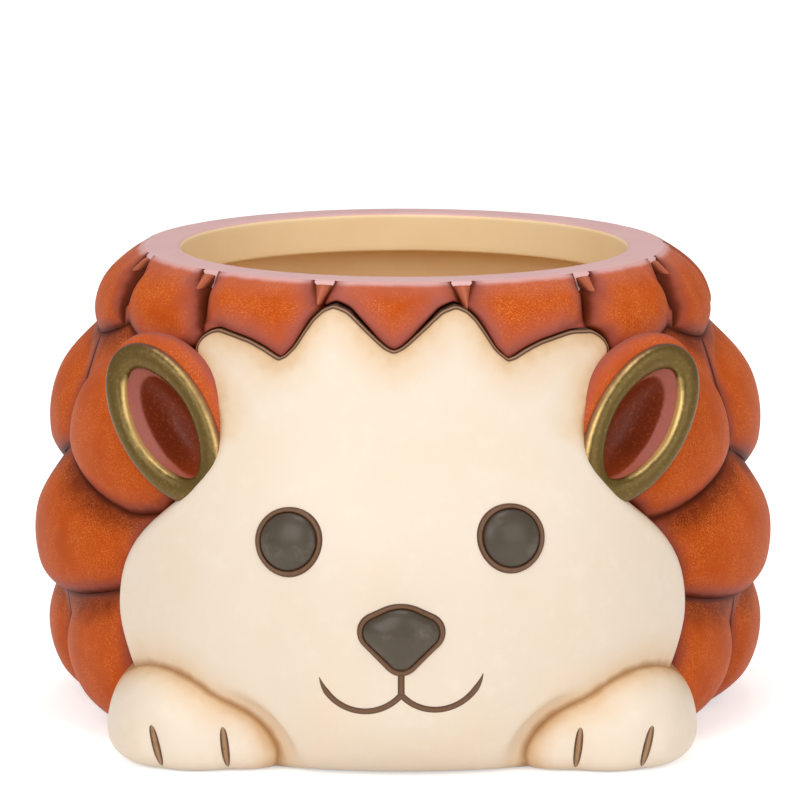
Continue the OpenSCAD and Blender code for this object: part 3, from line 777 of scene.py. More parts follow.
def plain_glaze(name, ground, patches, roughness):
    """A plain satin glaze with faint clouds, as on the rim and inside the pot"""
    layers = [(clouds(20 * MM, 0.35, 0.75), 0.5, patches), (clouds(1.2 * MM, 0.55, 0.8), 0.15, "#FFFFFF")]
    return glaze(name, ground, layers, roughness, 1.6 * MM, 0.02 * MM)


# Pieces


def new_tree(name, sizes):
    """A tree of geometry nodes with an input for each size, and the sockets that bring them"""
    tree = bpy.data.node_groups.new(name, "GeometryNodeTree")
    tree.interface.new_socket("Geometry", in_out="OUTPUT", socket_type="NodeSocketGeometry")
    for size, value in sizes.items():
        kind = "NodeSocketInt" if isinstance(value, int) else "NodeSocketFloat"
        tree.interface.new_socket(size, in_out="INPUT", socket_type=kind)
    return tree, add_node(tree, "NodeGroupInput").outputs


def end_tree(tree, shape, material):
    """Ends a tree with its shape's real mesh, glazed"""
    real = add_node(tree, "GeometryNodeRealizeInstances", {"Geometry": shape})
    glazed = add_node(tree, "GeometryNodeSetMaterial", {"Geometry": real.outputs[0], "Material": material})
    add_node(tree, "NodeGroupOutput", {0: glazed.outputs[0]})


def wall_tree(material, pot):
    """The wall's rule as nodes: a sheet is bent round the axis and up and down the wall's profile"""
    sizes = {
        "Belly radius": pot.belly_radius,
        "Neck radius": pot.neck_radius,
        "Base radius": pot.base_radius,
        "Height": pot.height,
        "Belly height": pot.belly_height,
        "Top": pot.collar_bottom,
        "Wall": pot.wall,
        "Segments": 193,
        "Rows": 102,
    }
    tree, size = new_tree("wall_by_rule", sizes)
    do = partial(calc, tree)
    counts = {"Size X": 1.0, "Size Y": 1.0, "Vertices X": size["Segments"], "Vertices Y": size["Rows"]}
    sheet = add_node(tree, "GeometryNodeMeshGrid", counts)
    position = add_node(tree, "GeometryNodeInputPosition").outputs[0]
    spot = add_node(tree, "ShaderNodeSeparateXYZ", {0: position})
    turn = do("MULTIPLY", do("ADD", spot.outputs["X"], 0.5), TAU)
    along = do("ADD", spot.outputs["Y"], 0.5)
    rise = do("SUBTRACT", 1.0, do("ABSOLUTE", do("SUBTRACT", do("MULTIPLY", along, 2.0), 1.0)))
    stretched = do("MINIMUM", do("MULTIPLY", rise, 1.02), 1.0)
    height = do("MULTIPLY", stretched, size["Top"])
    span = do("SUBTRACT", size["Height"], size["Belly height"])
    above = do("MAXIMUM", do("DIVIDE", do("SUBTRACT", height, size["Belly height"]), span), 0.0)
    below = do("MAXIMUM", do("SUBTRACT", 1.0, do("DIVIDE", height, size["Belly height"])), 0.0)
    in_neck = do("SUBTRACT", size["Belly radius"], size["Neck radius"])
    in_foot = do("SUBTRACT", size["Belly radius"], size["Base radius"])
    neck = do("MULTIPLY", in_neck, do("POWER", above, SHOULDER_POWER))
    foot = do("MULTIPLY", in_foot, do("POWER", below, FOOT_POWER))
    outside = do("SUBTRACT", do("SUBTRACT", size["Belly radius"], neck), foot)
    inner = do("MULTIPLY", do("GREATER_THAN", along, 0.5), do("LESS_THAN", along, 0.9999))
    radius = do("SUBTRACT", outside, do("MULTIPLY", inner, size["Wall"]))
    x = do("MULTIPLY", radius, do("SINE", turn))
    y = do("MULTIPLY", do("MULTIPLY", radius, do("COSINE", turn)), -1.0)
    place = add_node(tree, "ShaderNodeCombineXYZ", {"X": x, "Y": y, "Z": height}).outputs[0]
    bent = add_node(tree, "GeometryNodeSetPosition", {"Geometry": sheet.outputs["Mesh"], "Position": place})
    closed = add_node(tree, "GeometryNodeMergeByDistance", {"Geometry": bent.outputs[0], "Distance": 1e-6})
    smooth = add_node(tree, "GeometryNodeSetShadeSmooth", {"Geometry": closed.outputs[0]})
    end_tree(tree, smooth.outputs[0], material)
    return tree, sizes


def grown(context, name, tree, sizes):
    """Runs a tree of geometry nodes and keeps its result as a plain mesh"""
    source = bpy.data.objects.new(name + "_rule", bpy.data.meshes.new(name))
    context.scene.collection.objects.link(source)
    rule = source.modifiers.new("Rule", "NODES")
    rule.node_group = tree
    for item in tree.interface.items_tree:
        if item.in_out == "INPUT":
            rule[item.identifier] = sizes[item.name]
    evaluated = source.evaluated_get(context.evaluated_depsgraph_get())
    result = bpy.data.meshes.new_from_object(evaluated)
    bpy.data.objects.remove(source)
    result.name = name
    piece = bpy.data.objects.new(name, result)
    context.scene.collection.objects.link(piece)
    return piece


def face_outwards(mesh):
    """Turns a closed mesh's faces outwards"""
    points = np.array([vertex.co for vertex in mesh.vertices])
    faces = [list(polygon.vertices) for polygon in mesh.polygons]
    if signed_volume(points, faces) < 0:
        mesh.flip_normals()


class PLANTER_OT_pot(bpy.types.Operator):
    """Make the wall, the floor with its foot ring, and the collar with its flat rim"""

    bl_idname = "planter.pot"
    bl_label = "Pot"
    bl_options = {"REGISTER", "UNDO"}

    def execute(self, context):
        pot = context.scene.planter_pot
        colours = context.scene.planter_glaze
        inside = plain_glaze("satin_tan_glaze", colours.inside, "#FAD49C", 0.45)
        pink = plain_glaze("satin_pink_glaze", colours.rim, "#DBA8A8", 0.42)
        bare = plain_glaze("bisque_stoneware", colours.clay, "#CDB48E", 0.8)
        wall = grown(context, "planter_wall", *wall_tree(inside, pot))
        face_outwards(wall.data)
        adopt(wall, "pot_wall")
        self.floor(pot, inside, bare)
        self.rim(pot, inside, pink)
        return {"FINISHED"}

    def floor(self, pot, inside, bare):
        """A disc on a foot ring. The ring's underside is wiped bare of glaze."""
        segments, soft = 192, 0.8 * MM
        edge = float(wall_radius(pot, 0.0)) - pot.wall
        ring = edge - pot.foot_width
        inner = float(wall_radius(pot, pot.floor)) - pot.wall
        profile = [[ring * k / 8, pot.foot_recess] for k in range(1, 8)]
        profile += arc([ring - soft, pot.foot_recess - soft], soft, 90, 0, 6)
        profile += arc([ring + soft, soft], soft, 180, 270, 6)
        profile += arc([edge - soft, soft], soft, 270, 360, 6)
        profile += [[inner * k / 16, pot.floor] for k in range(16, 0, -1)]
        rings = turned(profile, segments).transpose(1, 0, 2)
        points = np.vstack([[[0, 0, pot.foot_recess]], rings.reshape(-1, 3), [[0, 0, pot.floor]]])
        faces = skin_faces(len(profile), segments)
        piece = make_piece("planter_floor", points, faces, inside, "pot_floor")
        piece.data.materials.append(bare)
        wiped = 0.5 * MM
        for polygon in piece.data.polygons:
            polygon.material_index = int(polygon.center.z < wiped)

    def rim(self, pot, inside, pink):
        """The straight collar inside and the flat rim on it, with a soft inner and outer edge"""
        segments = 256
        soft_in, soft_out = 1.3 * MM, 0.7 * pot.rim_soft
        low, top = pot.collar_bottom, pot.height
        inner, outer = pot.mouth_radius, edge_radius(pot)
        profile = [[float(wall_radius(pot, low)), low], [outer, top - 2 * soft_out]]
        profile += arc([outer - soft_out, top - soft_out], soft_out, 0, 90, 10)
        profile += [[inner + (outer - inner) * share, top] for share in (0.6, 0.45, 0.3)]
        profile += arc([inner + soft_in, top - soft_in], soft_in, 90, 180, 10)
        profile += [[inner, low + (top - soft_in - low) * share] for share in (0.8, 0.5, 0.2)]
        profile += arc([inner + soft_in / 2, low + soft_in / 2], soft_in / 2, 180, 270, 5)
        points, faces = turned(profile, segments), tube_faces(segments, len(profile))
        piece = make_piece("planter_rim", points, faces, pink, "rim_band")
        piece.data.materials.append(inside)
        widest, highest = inner + 0.25 * soft_in, top - 0.3 * MM
        for polygon in piece.data.polygons:
            middle = polygon.center
            in_collar = math.hypot(middle.x, middle.y) < widest and middle.z < highest
            polygon.material_index = int(in_collar)


def egg_reach(swing, height, centre, centre_height, half_length, half_radius):
    """How far an egg that lies across the wall reaches from the axis, at an angle and a height"""
    across = np.sin(swing) ** 2 / half_length**2 + np.cos(swing) ** 2 / half_radius**2
    lean = centre * np.cos(swing) / half_radius**2
    rest = (centre**2 + (height - centre_height) ** 2) / half_radius**2 - 1
    return (lean + np.sqrt(np.maximum(lean * lean - across * rest, 0))) / across


def ear_start(ear, turn, height):
    """The radius at which an ear's egg begins, at an angle and a height on the right, or infinity beside it.
    The egg is a little larger than the ear and lies towards the face, where the ear's clay stands out."""
    matrix = ear_matrix(ear)
    more = ear.flange * np.array([0.5, 0.0, 0.4])
    size = np.array([ear.half_width, ear.half_width, ear.half_length]) + more
    middle = matrix[:3, 3] + matrix[:3, :3] @ (ear.flange * np.array([-0.45, 0.0, 0.35]))
    start = on_pot(0 * turn, 0 * turn, height) - middle
    start = start @ matrix[:3, :3] / size
    direction = on_pot(turn, 1 + 0 * turn, 0 * turn) @ matrix[:3, :3] / size
    a = (direction**2).sum(-1)
    b = (start * direction).sum(-1)
    inside = b * b - a * ((start**2).sum(-1) - 1)
    return np.where(inside > 0, (-b - np.sqrt(np.maximum(inside, 0))) / a, np.inf)


def edge_radius(pot):
    """The outer radius of the flat rim, inside the crown quills"""
    return pot.rim_radius - 0.6 * pot.rim_soft


# Below the rim the coat swells by this much over about this height, and starts this softly
SHOULDER_WIDTH, SHOULDER_DROP, SHOULDER_START = 12.2 * MM, 6.2 * MM, 1.3
# Over this height below the rim the coat's foot leads out to the rim
RIM_BLEND = 12 * MM


def shoulder(pot, height):
    """The greatest radius of the coat at a height, so that it falls away softly from the rim"""
    down = np.maximum(pot.height - height, 0) / SHOULDER_DROP
    return edge_radius(pot) + SHOULDER_WIDTH * (1 - np.exp(-(down**SHOULDER_START)))


def towards_rim(pot, height, floor):
    """The radius of the coat's foot, led out to the rim, and how near the rim is, from 0 to 1"""
    near = np.clip((height - (pot.height - RIM_BLEND)) / RIM_BLEND, 0, 1)
    return floor + (pot.rim_radius - pot.rim_soft - floor) * near, near


class Quill:
    """One pillow-shaped quill: a patch of the wall between four lines, with an egg's roundness"""

    ROWS, COLUMNS = 64, 84
    # Rounds in which the grid of a quill settles between its four lines
    ROUNDS = 40
    # Least thickness of a quill on its foot, in the crown and in the other rows
    LEAST_CROWN, LEAST = 1.4 * MM, 0.4 * MM

    def __init__(self, scene, middle, centre_height, proud, half_length, half_radius):
        self.pot, self.coat = scene.planter_pot, scene.planter_coat
        self.middle, self.centre_height = middle, centre_height
        self.half_length, self.half_radius = half_length, half_radius
        self.centre = float(wall_radius(self.pot, centre_height)) + proud - half_radius

    def make(self, name, node, material, left, right, low, high, rolls, crown=False, hair=0.0, ear=None):
        """Left and right give an angle at a height, and low and high a height at an angle. `rolls` are the
        radii of its lower, right, upper and left edges. `hair` raises the lower edge to the groove along the
        hairline, and `ear` gives the radius at which an ear begins."""
        pot, coat = self.pot, self.coat
        u, v = np.meshgrid(eased(self.COLUMNS, 0.8), eased(self.ROWS, 0.8))
        turn = np.full(u.shape, self.middle)
        for _ in range(self.ROUNDS):
            height = low(turn) + v * (high(turn) - low(turn))
            turn = 0.5 * turn + 0.5 * (left(height) + u * (right(height) - left(height)))
        height = low(turn) + v * (high(turn) - low(turn))
        scale = float(wall_radius(pot, self.centre_height)) + coat.proud
        flat = np.stack([scale * turn, height], axis=-1)
        places = flat.reshape(-1, 2)
        sides = [flat[0], flat[:, -1], flat[-1], flat[:, 0]]
        to_sides = [distance_to(places, side).reshape(u.shape) for side in sides]
        to_low, to_right, to_high, to_left = to_sides
        floor = wall_radius(pot, height) + coat.crease + hair * np.exp(-to_low / (3 * MM))
        size = self.half_length, self.half_radius
        far = np.full(u.shape, 1.0)
        # Marks for the glaze: lip for the mauve, which is partly painted sheen; crease for painted shade in
        # the creases; under, the distance from the upper edge, for painted shade below the quill above; rim
        # for the rim's pink
        lip = np.minimum(to_low, np.minimum(to_left, to_right))
        if crown:
            floor, near = towards_rim(pot, height, floor)
            tight = 1 - 0.6 * near
            marks = {"lip": lip, "crease": lip, "under": far, "rim": to_high}
        else:
            tight = 1.0
            marks = {"lip": lip, "crease": np.minimum(lip, to_high), "under": to_high, "rim": far}
        # At the hairline the painted shade of the crease stays narrow along the groove
        if hair:
            marks["crease"] = np.minimum(0.5 * MM + 3.5 * to_low, np.minimum(to_left, to_right))
        egg = egg_reach(turn - self.middle, height, self.centre, self.centre_height, *size)
        lift = np.maximum(egg - floor, self.LEAST_CROWN if crown else self.LEAST)
        if crown:
            lift = np.minimum(lift, np.maximum(shoulder(pot, height) - floor, SUNK))
        edges = [rolled(distance / tight, radius) for distance, radius in zip(to_sides, rolls)]
        roll = np.prod(edges, axis=0)
        radius = floor + lift * roll
        if ear:
            radius = np.minimum(radius, ear(turn, height))
        back = on_pot(turn, wall_radius(pot, height) - SUNK, height)
        points = np.stack([on_pot(turn, radius, height), back])
        marks = {mark: np.tile(values.ravel() / MM, 2) for mark, values in marks.items()}
        faces = shell_faces(self.ROWS, self.COLUMNS)
        return make_piece(name, points, faces, material, node, marks)


class PLANTER_OT_coat(bpy.types.Operator):
    """Make the four rows of quills"""

    bl_idname = "planter.coat"
    bl_label = "Coat of quills"
    bl_options = {"REGISTER", "UNDO"}

    def execute(self, context):
        scene = context.scene
        self.scene = scene
        self.pot, self.coat = scene.planter_pot, scene.planter_coat
        colours = scene.planter_glaze
        self.glaze = quill_glaze(colours, "satin_iron_red_glaze", 0.0)
        self.rosy = quill_glaze(colours, "satin_iron_red_glaze_thin", 1.0)
        pot, coat = self.pot, self.coat
        self.cheek, hair, _ = face_lines(scene)
        # The face's tuft beside the hairline, and a short steep line outside it, where the quill there ends
        tuft = self.cheek[self.cheek[:, 1] > 0.75 * pot.height]
        tuft = tuft[np.argmax(tuft[:, 0]) :]
        tuft = np.vstack([tuft[:1] + [math.radians(1.5), -6 * MM], tuft])
        self.hair = np.vstack([tuft * [-1, 1], hair[::-1][1:-1], tuft[::-1]])
        for k in range(coat.crown_count):
            self.crown(k)
        step = TAU / coat.row_count
        crown, ground = partial(crown_line, pot, coat), np.zeros_like
        upper, middle = partial(upper_line, coat), partial(middle_line, coat)
        crown_tip = pot.height - coat.crown_drop
        # Heights at which the quills of a row are thickest
        upper_z = (crown_tip + coat.upper_tip) / 2 - coat.proud / 2
        middle_z = (coat.upper_tip + coat.middle_tip) / 2 + coat.proud / 10
        lower_z = 0.65 * coat.middle_tip
        full = 3 * coat.proud
        for k in range(1, coat.row_count):
            self.row_quill("upper", k, k * step, upper, crown, upper_z, full, (6, 9, 16, 9))
        for k in range(1, coat.row_count - 1):
            self.row_quill("middle", k, (k + 0.5) * step, middle, upper, middle_z, full, (6, 9, 14, 9))
        for k in range(1, coat.row_count):
            self.row_quill("lower", k, k * step, ground, middle, lower_z, 0.9 * full, (9, 9, 14, 9))
        return {"FINISHED"}

    def cheek_angle(self, height):
        """Angle of the face's edge at a height, or 0 above it"""
        edge = self.cheek
        return np.interp(height, edge[:, 1], edge[:, 0], right=0.0)

    def hair_height(self, turn):
        """Height of the hairline at an angle, or 0 beside the face"""
        return np.interp(turn, self.hair[:, 0], self.hair[:, 1], left=0.0, right=0.0)

    def row_quill(self, row, k, place, low, high, height, radius, rolls):
        """A quill of the upper, middle or lower row. Those beside the face end at its edge, and the middle
        row's fill all the room up to it. The rolls are in millimetres."""
        coat = self.coat
        place = (place + math.pi) % TAU - math.pi
        half = math.pi / coat.row_count
        start = float(leaned(coat, place - half))
        stop = float(leaned(coat, place + half))
        middle = float(leaned(coat, place))
        left = lambda z: np.full_like(z, start)
        right = lambda z: np.full_like(z, stop)
        own = 0.0 if row == "middle" else 1.0
        if 0 < place < 0.5 * math.pi:
            left = lambda z: np.maximum(own * start, self.cheek_angle(z))
        elif -0.5 * math.pi < place < 0:
            right = lambda z: np.minimum(own * stop, -self.cheek_angle(z))
        quill = Quill(self.scene, middle, height, coat.proud, 0.53 * self.pot.belly_radius, radius)
        rolls = [roll * MM for roll in rolls]
        name, node = f"{row}_lobe_{k}", f"{row}_quill_{k}"
        beside_ear = row == "upper" and abs(place) < 2.5 * half
        ear = self.ear_limit(place) if beside_ear else None
        quill.make(name, node, self.glaze, left, right, low, high, rolls, ear=ear)

    def ear_limit(self, place):
        """Gives the radius at which an ear begins, at an angle and a height on the ear's side"""
        side = math.copysign(1, place)
        return lambda turn, height: ear_start(self.scene.planter_ears, side * turn, height)

    def crown(self, k):
        """A crown quill. Those over the face end at the hairline."""
        pot, coat = self.pot, self.coat
        step = TAU / coat.crown_count
        place = (k * step + math.pi) % TAU - math.pi
        heights = np.array([pot.height - coat.crown_drop, pot.height - coat.tuft_drop, pot.height])

        def side(turn, sign):
            low, top = leaned(coat, turn), at_rim(coat, turn)
            tip = top + (low - top) * coat.tuft_drop / coat.crown_drop
            angles = np.array([low, tip, top + sign * coat.tuft_half])
            return lambda z: np.interp(z, heights, angles)

        low = lambda turn: np.maximum(crown_line(pot, coat, turn), self.hair_height(turn))
        high = lambda turn: np.full_like(turn, pot.height - 0.1 * MM)
        left, right = side(place - step / 2, 1), side(place + step / 2, -1)
        half_length, radius = 1.5 * coat.crown_drop, 1.05 * coat.crown_drop
        middle = float(leaned(coat, place))
        height = pot.height - 0.8 * coat.crown_drop
        quill = Quill(self.scene, middle, height, coat.crown_proud, half_length, radius)
        from_front = min(k, coat.crown_count - k)
        over_face, beside_ear = from_front < 2, from_front == 2
        rolls = [(2.2 if over_face else 4.5) * MM, 6 * MM, 5 * MM, 6 * MM]
        name, node = f"crown_lobe_{k + 1}", f"crown_quill_{k + 1}"
        material = self.rosy if over_face or beside_ear else self.glaze
        hair = 1.6 * MM if over_face else 0.0
        ear = self.ear_limit(place) if beside_ear else None
        quill.make(name, node, material, left, right, low, high, rolls, crown=True, hair=hair, ear=ear)


def tuft_mesh(pot, coat):
    """One tuft, at the front of the rim: a small wedge that narrows downwards, with a ridge in its middle"""
    rows, columns = 40, 31
    u, v = np.meshgrid(np.linspace(-1, 1, columns), np.linspace(0, 1, rows))
    height = pot.height - 0.9 * MM - 1.3 * coat.tuft_drop * (1 - v)
    turn = u * coat.tuft_half * 0.98 * (0.05 + 0.95 * v)
    ridge = np.cos(u * math.pi / 2) ** 0.8
    floor, _ = towards_rim(pot, height, wall_radius(pot, height) + coat.crease)
    radius = floor + (shoulder(pot, height) - floor) * (0.3 + 0.45 * ridge)
    radius = np.maximum(radius, edge_radius(pot) + (0.1 + 0.3 * ridge) * MM)
    # The top edge is rounded, and the tip goes down into the crease
    radius = radius - 1.2 * MM * v**40
    radius = radius - (radius - floor + 0.3 * MM) * (1 - v) ** 6
    back = on_pot(turn, wall_radius(pot, height) - 1.5 * MM, height)
    points = np.stack([on_pot(turn, radius, height), back]).reshape(-1, 3)
    marks = {"across": np.tile(np.abs(u).ravel(), 2), "down": np.tile((1 - v).ravel(), 2)}
    return make_mesh("tuft", points, shell_faces(rows, columns), marks)


def tuft_tree(material, tuft, coat):
    """Tufts all round the rim, in the notches between the crown quills, which spread a little"""
    sizes = {"Count": coat.crown_count, "Spread": coat.rim_lean, "Turn": coat.turn}
    tree, size = new_tree("tufts_round_rim", sizes)
    do = partial(calc, tree)
    index = add_node(tree, "GeometryNodeInputIndex").outputs[0]
    even = do("MULTIPLY", do("DIVIDE", do("ADD", index, 0.5), size["Count"]), TAU)
    spread = do("MULTIPLY", size["Spread"], do("SINE", even))
    turn = do("ADD", do("ADD", even, spread), size["Turn"])
    spots = add_node(tree, "GeometryNodeMeshLine", {"Count": size["Count"], "Offset": (0, 0, 0)})
    points = add_node(tree, "GeometryNodeMeshToPoints", {"Mesh": spots.outputs[0]})
    shape = add_node(tree, "GeometryNodeObjectInfo", {"Object": tuft}).outputs["Geometry"]
    turns = add_node(tree, "ShaderNodeCombineXYZ", {"Z": turn})
    rotation = add_node(tree, "FunctionNodeEulerToRotation", {0: turns.outputs[0]}).outputs[0]
    inputs = {"Points": points.outputs[0], "Instance": shape, "Rotation": rotation}
    placed = add_node(tree, "GeometryNodeInstanceOnPoints", inputs)
    end_tree(tree, placed.outputs[0], material)
    return tree, sizes


class PLANTER_OT_tufts(bpy.types.Operator):
    """Make the tufts in the notches of the rim"""

    bl_idname = "planter.tufts"
    bl_label = "Rim tufts"
    bl_options = {"REGISTER", "UNDO"}

    def execute(self, context):
        pot, coat = context.scene.planter_pot, context.scene.planter_coat
        material = tuft_glaze(context.scene.planter_glaze, "satin_red_glaze_on_tufts")
        tuft = bpy.data.objects.new("tuft", tuft_mesh(pot, coat))
        context.scene.collection.objects.link(tuft)
        tree, sizes = tuft_tree(material, tuft, coat)
        piece = grown(context, "rim_tuft_ring", tree, sizes)
        bpy.data.objects.remove(tuft)
        adopt(piece, "rim_tufts")
        return {"FINISHED"}


def smile_points(face):
    """The smile's right half as (x, z), from the line under the nose outwards"""
    centre_x = 0.76 * face.smile_radius
    centre_z = face.nose_z - face.nose_height / 2 + 2.7 * MM
    return np.array(arc([centre_x, centre_z], face.smile_radius, 220, 344, 60))


class PLANTER_OT_head(bpy.types.Operator):
    """Make the head: brow, cheeks, muzzle and chin in one skin"""

    bl_idname = "planter.head"
    bl_label = "Head"
    bl_options = {"REGISTER", "UNDO"}

    RINGS, SPOKES, BACK_RINGS = 120, 640, 8
    # Height of the middle of the face, from which the rings of the skin spread
    CENTRE_HEIGHT = 60 * MM
    # Rays run from the middle of the pot. The skin lies between these shares of their way to the wall.
    NEAR, FAR = 0.8, 1.9

    def execute(self, context):
        scene = context.scene
        pot, coat, head = scene.planter_pot, scene.planter_coat, scene.planter_head
        border, flat = self.border(scene)
        centre = np.array([0.0, self.CENTRE_HEIGHT])
        shares = 1 - (1 - np.linspace(0, 1, self.RINGS + 1)[1:]) ** 1.35
        plane = centre + shares[:, None, None] * (border - centre)
        apex = np.array([0.0, pot.wall, pot.belly_height])
        skin = wall_radius(pot, plane[..., 1]) + coat.proud / 2
        direction = on_pot(plane[..., 0] / pot.belly_radius, skin, plane[..., 1]) - apex
        distance = lambda points: head_distance(scene, points)
        reach = outermost(distance, apex, direction, self.NEAR, self.FAR)
        edge = distance_to(plane.reshape(-1, 2), flat[::2]).reshape(shares.size, -1)
        hair_start, hair_soft = 76 * MM, 14 * MM
        upper = np.clip((plane[..., 1] - hair_start) / hair_soft, 0, 1)
        radius = head.roll + (head.hair_roll - head.roll) * upper
        rise = coat.crease + (head.brow - head.groove - coat.crease) * upper
        floor = 1 - (0.5 * coat.proud - rise) / skin
        reach = floor + (reach - floor) * rolled(edge, radius)
        points = apex + direction * reach[..., None]
        points[..., 2] = np.maximum(points[..., 2], 0)
        back = self.back(pot, border, centre)
        first = self.pole(scene, apex, centre)
        last = on_pot(0.0, wall_radius(pot, centre[1]) - SUNK, centre[1])
        skin_points = np.vstack([[first], points.reshape(-1, 3), back, [last]])
        marks = self.marks(scene, points, plane[..., 1], edge, len(back))
        material = cream_glaze(scene.planter_glaze, "satin_cream_glaze")
        faces = skin_faces(shares.size + self.BACK_RINGS, self.SPOKES)
        make_piece("face_skin", skin_points, faces, material, "head", marks)
        return {"FINISHED"}

    def border(self, scene):
        """The face's edge on the unrolled wall: as even points all round, with its foot on the floor, and as
        the line from one end of the foot to the other alone"""
        lines = face_lines(scene)
        outline = np.vstack([lines[0], lines[1][1:], lines[2][1:]])
        outline[:, 1] = np.maximum(outline[:, 1], 0)
        flat = outline * [scene.planter_pot.belly_radius, 1]
        half = len(flat) // 2
        low = flat[:, 1] <= 0
        flat = flat[max(np.nonzero(low[:half])[0]) : len(flat) - max(np.nonzero(low[::-1][:half])[0])]
        bottom = np.linspace(flat[-1], flat[0], 40)[1:]
        return evenly(np.vstack([flat, bottom]), self.SPOKES), flat

    def back(self, pot, border, centre):
        """Rings that close the skin against the wall"""
        shares = np.linspace(1, 0.1, self.BACK_RINGS)
        plane = centre + shares[:, None, None] * (border - centre)
        inside = wall_radius(pot, plane[..., 1]) - SUNK
        return on_pot(plane[..., 0] / pot.belly_radius, inside, plane[..., 1]).reshape(-1, 3)

    def pole(self, scene, apex, centre):
        """The middle of the face"""
        skin = wall_radius(scene.planter_pot, centre[1]) + scene.planter_coat.proud / 2
        direction = on_pot(0.0, skin, centre[1]) - apex
        distance = lambda points: head_distance(scene, points)
        reach = outermost(distance, apex, direction[None], self.NEAR, self.FAR)[0]
        return apex + direction * reach

    def marks(self, scene, points, height, edge, back_count):
        """Distances in millimetres, which the glaze reads: from the hairline or a paw, for the tan wash,
        which beside a paw is painted shade; from the face's edge, for the line; and from the edge or a paw,
        for painted shade. The middle of the face comes first, far from all, and the back last, at 0."""
        hair_start, hair_soft = 74 * MM, 6 * MM
        beside_hair = 1 - np.clip((height - hair_start) / hair_soft, 0, 1)
        near = edge / MM
        paw = np.maximum(paw_distance(scene, on_right(points)), 0) / MM
        rows = {
            # Tan wash at the hairline, and painted shade beside a paw
            "wash": np.minimum(near + 9 * beside_hair, paw + 3),
            "line": near + 4 * beside_hair,
            # Painted shade along the face's edge and beside a paw
            "shade": np.minimum(near, 1.3 * paw),
        }
        far, tail = [60.0], np.zeros(back_count + 1)
        return {mark: np.concatenate([far, values.ravel(), tail]) for mark, values in rows.items()}


# The skin of the face lies between these distances in front of the axis
FACE_NEAR, FACE_FAR = 0.06, 0.13


def front_of_head(scene, x, z):
    """How far the head's skin is in front of the axis at x and z"""
    distance = lambda points: head_distance(scene, points)
    start = np.stack([x, 0 * x, z], axis=-1)
    forward = np.broadcast_to([0.0, -1.0, 0.0], start.shape)
    return outermost(distance, start, forward, FACE_NEAR, FACE_FAR)


def head_frame(scene, x, z):
    """A point of the head's front at x and z, and the directions across, up and out there"""
    front = lambda x, z: front_of_head(scene, np.array([x]), np.array([z]))[0]
    small = 0.5 * MM
    y = front(x, z)
    slope_x = (front(x + small, z) - front(x - small, z)) / (2 * small)
    slope_z = (front(x, z + small) - front(x, z - small)) / (2 * small)
    out = Vector((-slope_x, -1.0, -slope_z)).normalized()
    across = Vector((0, 0, 1)).cross(out).normalized() * -1
    across = Vector((abs(across.x), across.y * math.copysign(1, across.x), 0)).normalized()
    up = out.cross(across)
    if up.z < 0:
        up = -up
    return np.array([x, -y, z]), np.array(across), np.array(up), np.array(out)


def on_head(scene, spot, x, y, lift):
    """Points that lie on the head round a spot, with a height above its skin"""
    origin, across, up, out = spot
    plane = origin + x[..., None] * across + y[..., None] * up
    distance = lambda points: head_distance(scene, points)
    down = 8 * MM
    outward = np.broadcast_to(out, plane.shape)
    reach = outermost(distance, plane - down * out, outward, 0.0, 2 * down, steps=24, rounds=20)
    return plane + (reach - down + lift)[..., None] * out


def on_side(points, side):
    """The right-hand piece's points, or their mirror image"""
    return points * np.array([SIDES[side], 1, 1])


def make_dome(scene, name, node, spot, outline, bulge, material, side):
    """A dome on the head inside an outline. Its foot is sunk into the clay."""
    sunk = 1.5 * MM
    shares = np.sin(np.linspace(0, math.pi / 2, 22))[1:]
    x, y = shares[:, None] * outline[:, 0], shares[:, None] * outline[:, 1]
    lift = np.broadcast_to(bulge * np.sqrt(1 - shares**2)[:, None], x.shape)
    rings = on_head(scene, spot, x, y, lift)
    foot = on_head(scene, spot, x[-1:], y[-1:], np.full(x[-1:].shape, -sunk))
    zero = np.zeros((1,))
    top = on_head(scene, spot, zero, zero, zero + bulge)
    under = on_head(scene, spot, zero, zero, zero - sunk)
    points = np.vstack([top, rings.reshape(-1, 3), foot.reshape(-1, 3), under])
    edge = 1 - np.repeat(shares, x.shape[1])
    across = np.concatenate([[1.0], edge, np.zeros(x.shape[1]), [0.0]])
    faces = skin_faces(len(shares) + 1, x.shape[1])
    return make_piece(name, on_side(points, side), faces, material, node, {"across": across})


def make_bead(scene, name, node, spot, outline, width, height, material, side):
    """A bead of slip on the head along an outline. It is a little uneven, as a drawn line is."""
    count, sides = len(outline), 14
    along = np.roll(outline, -1, axis=0) - np.roll(outline, 1, axis=0)
    normal = unit_normals(*along.T)
    turns = circle(sides)
    wander = 1 + 0.08 * np.sin(3 * circle(count) + 0.7)
    offset = (width / 2 * np.cos(turns))[None] * wander[:, None]
    x = outline[:, :1] + normal[:, :1] * offset
    y = outline[:, 1:] + normal[:, 1:] * offset
    lift = np.broadcast_to(height * np.sin(turns), x.shape)
    points = on_side(on_head(scene, spot, x, y, lift).reshape(-1, 3), side)
    marks = {"across": np.broadcast_to(np.abs(np.cos(turns)), x.shape)}
    return make_piece(name, points, tube_faces(count, sides), material, node, marks)


def make_strand(rings, turns):
    """A drawn line from its rings of points, closed at both ends, as points, faces and marks across it"""
    points = np.vstack([[rings[0].mean(0)], rings.reshape(-1, 3), [rings[-1].mean(0)]])
    across = np.broadcast_to(np.abs(np.cos(turns)), rings.shape[:2]).ravel()
    return points, skin_faces(*rings.shape[:2]), np.concatenate([[0], across, [0]])


def eye_outline(radius, count=96):
    """A circle that is a little uneven, as one cut by hand"""
    turns = circle(count)
    reach = radius * (1 + 0.012 * np.sin(2 * turns + 1.1) + 0.008 * np.sin(3 * turns))
    return np.stack([reach * np.cos(turns), reach * np.sin(turns)], axis=1)


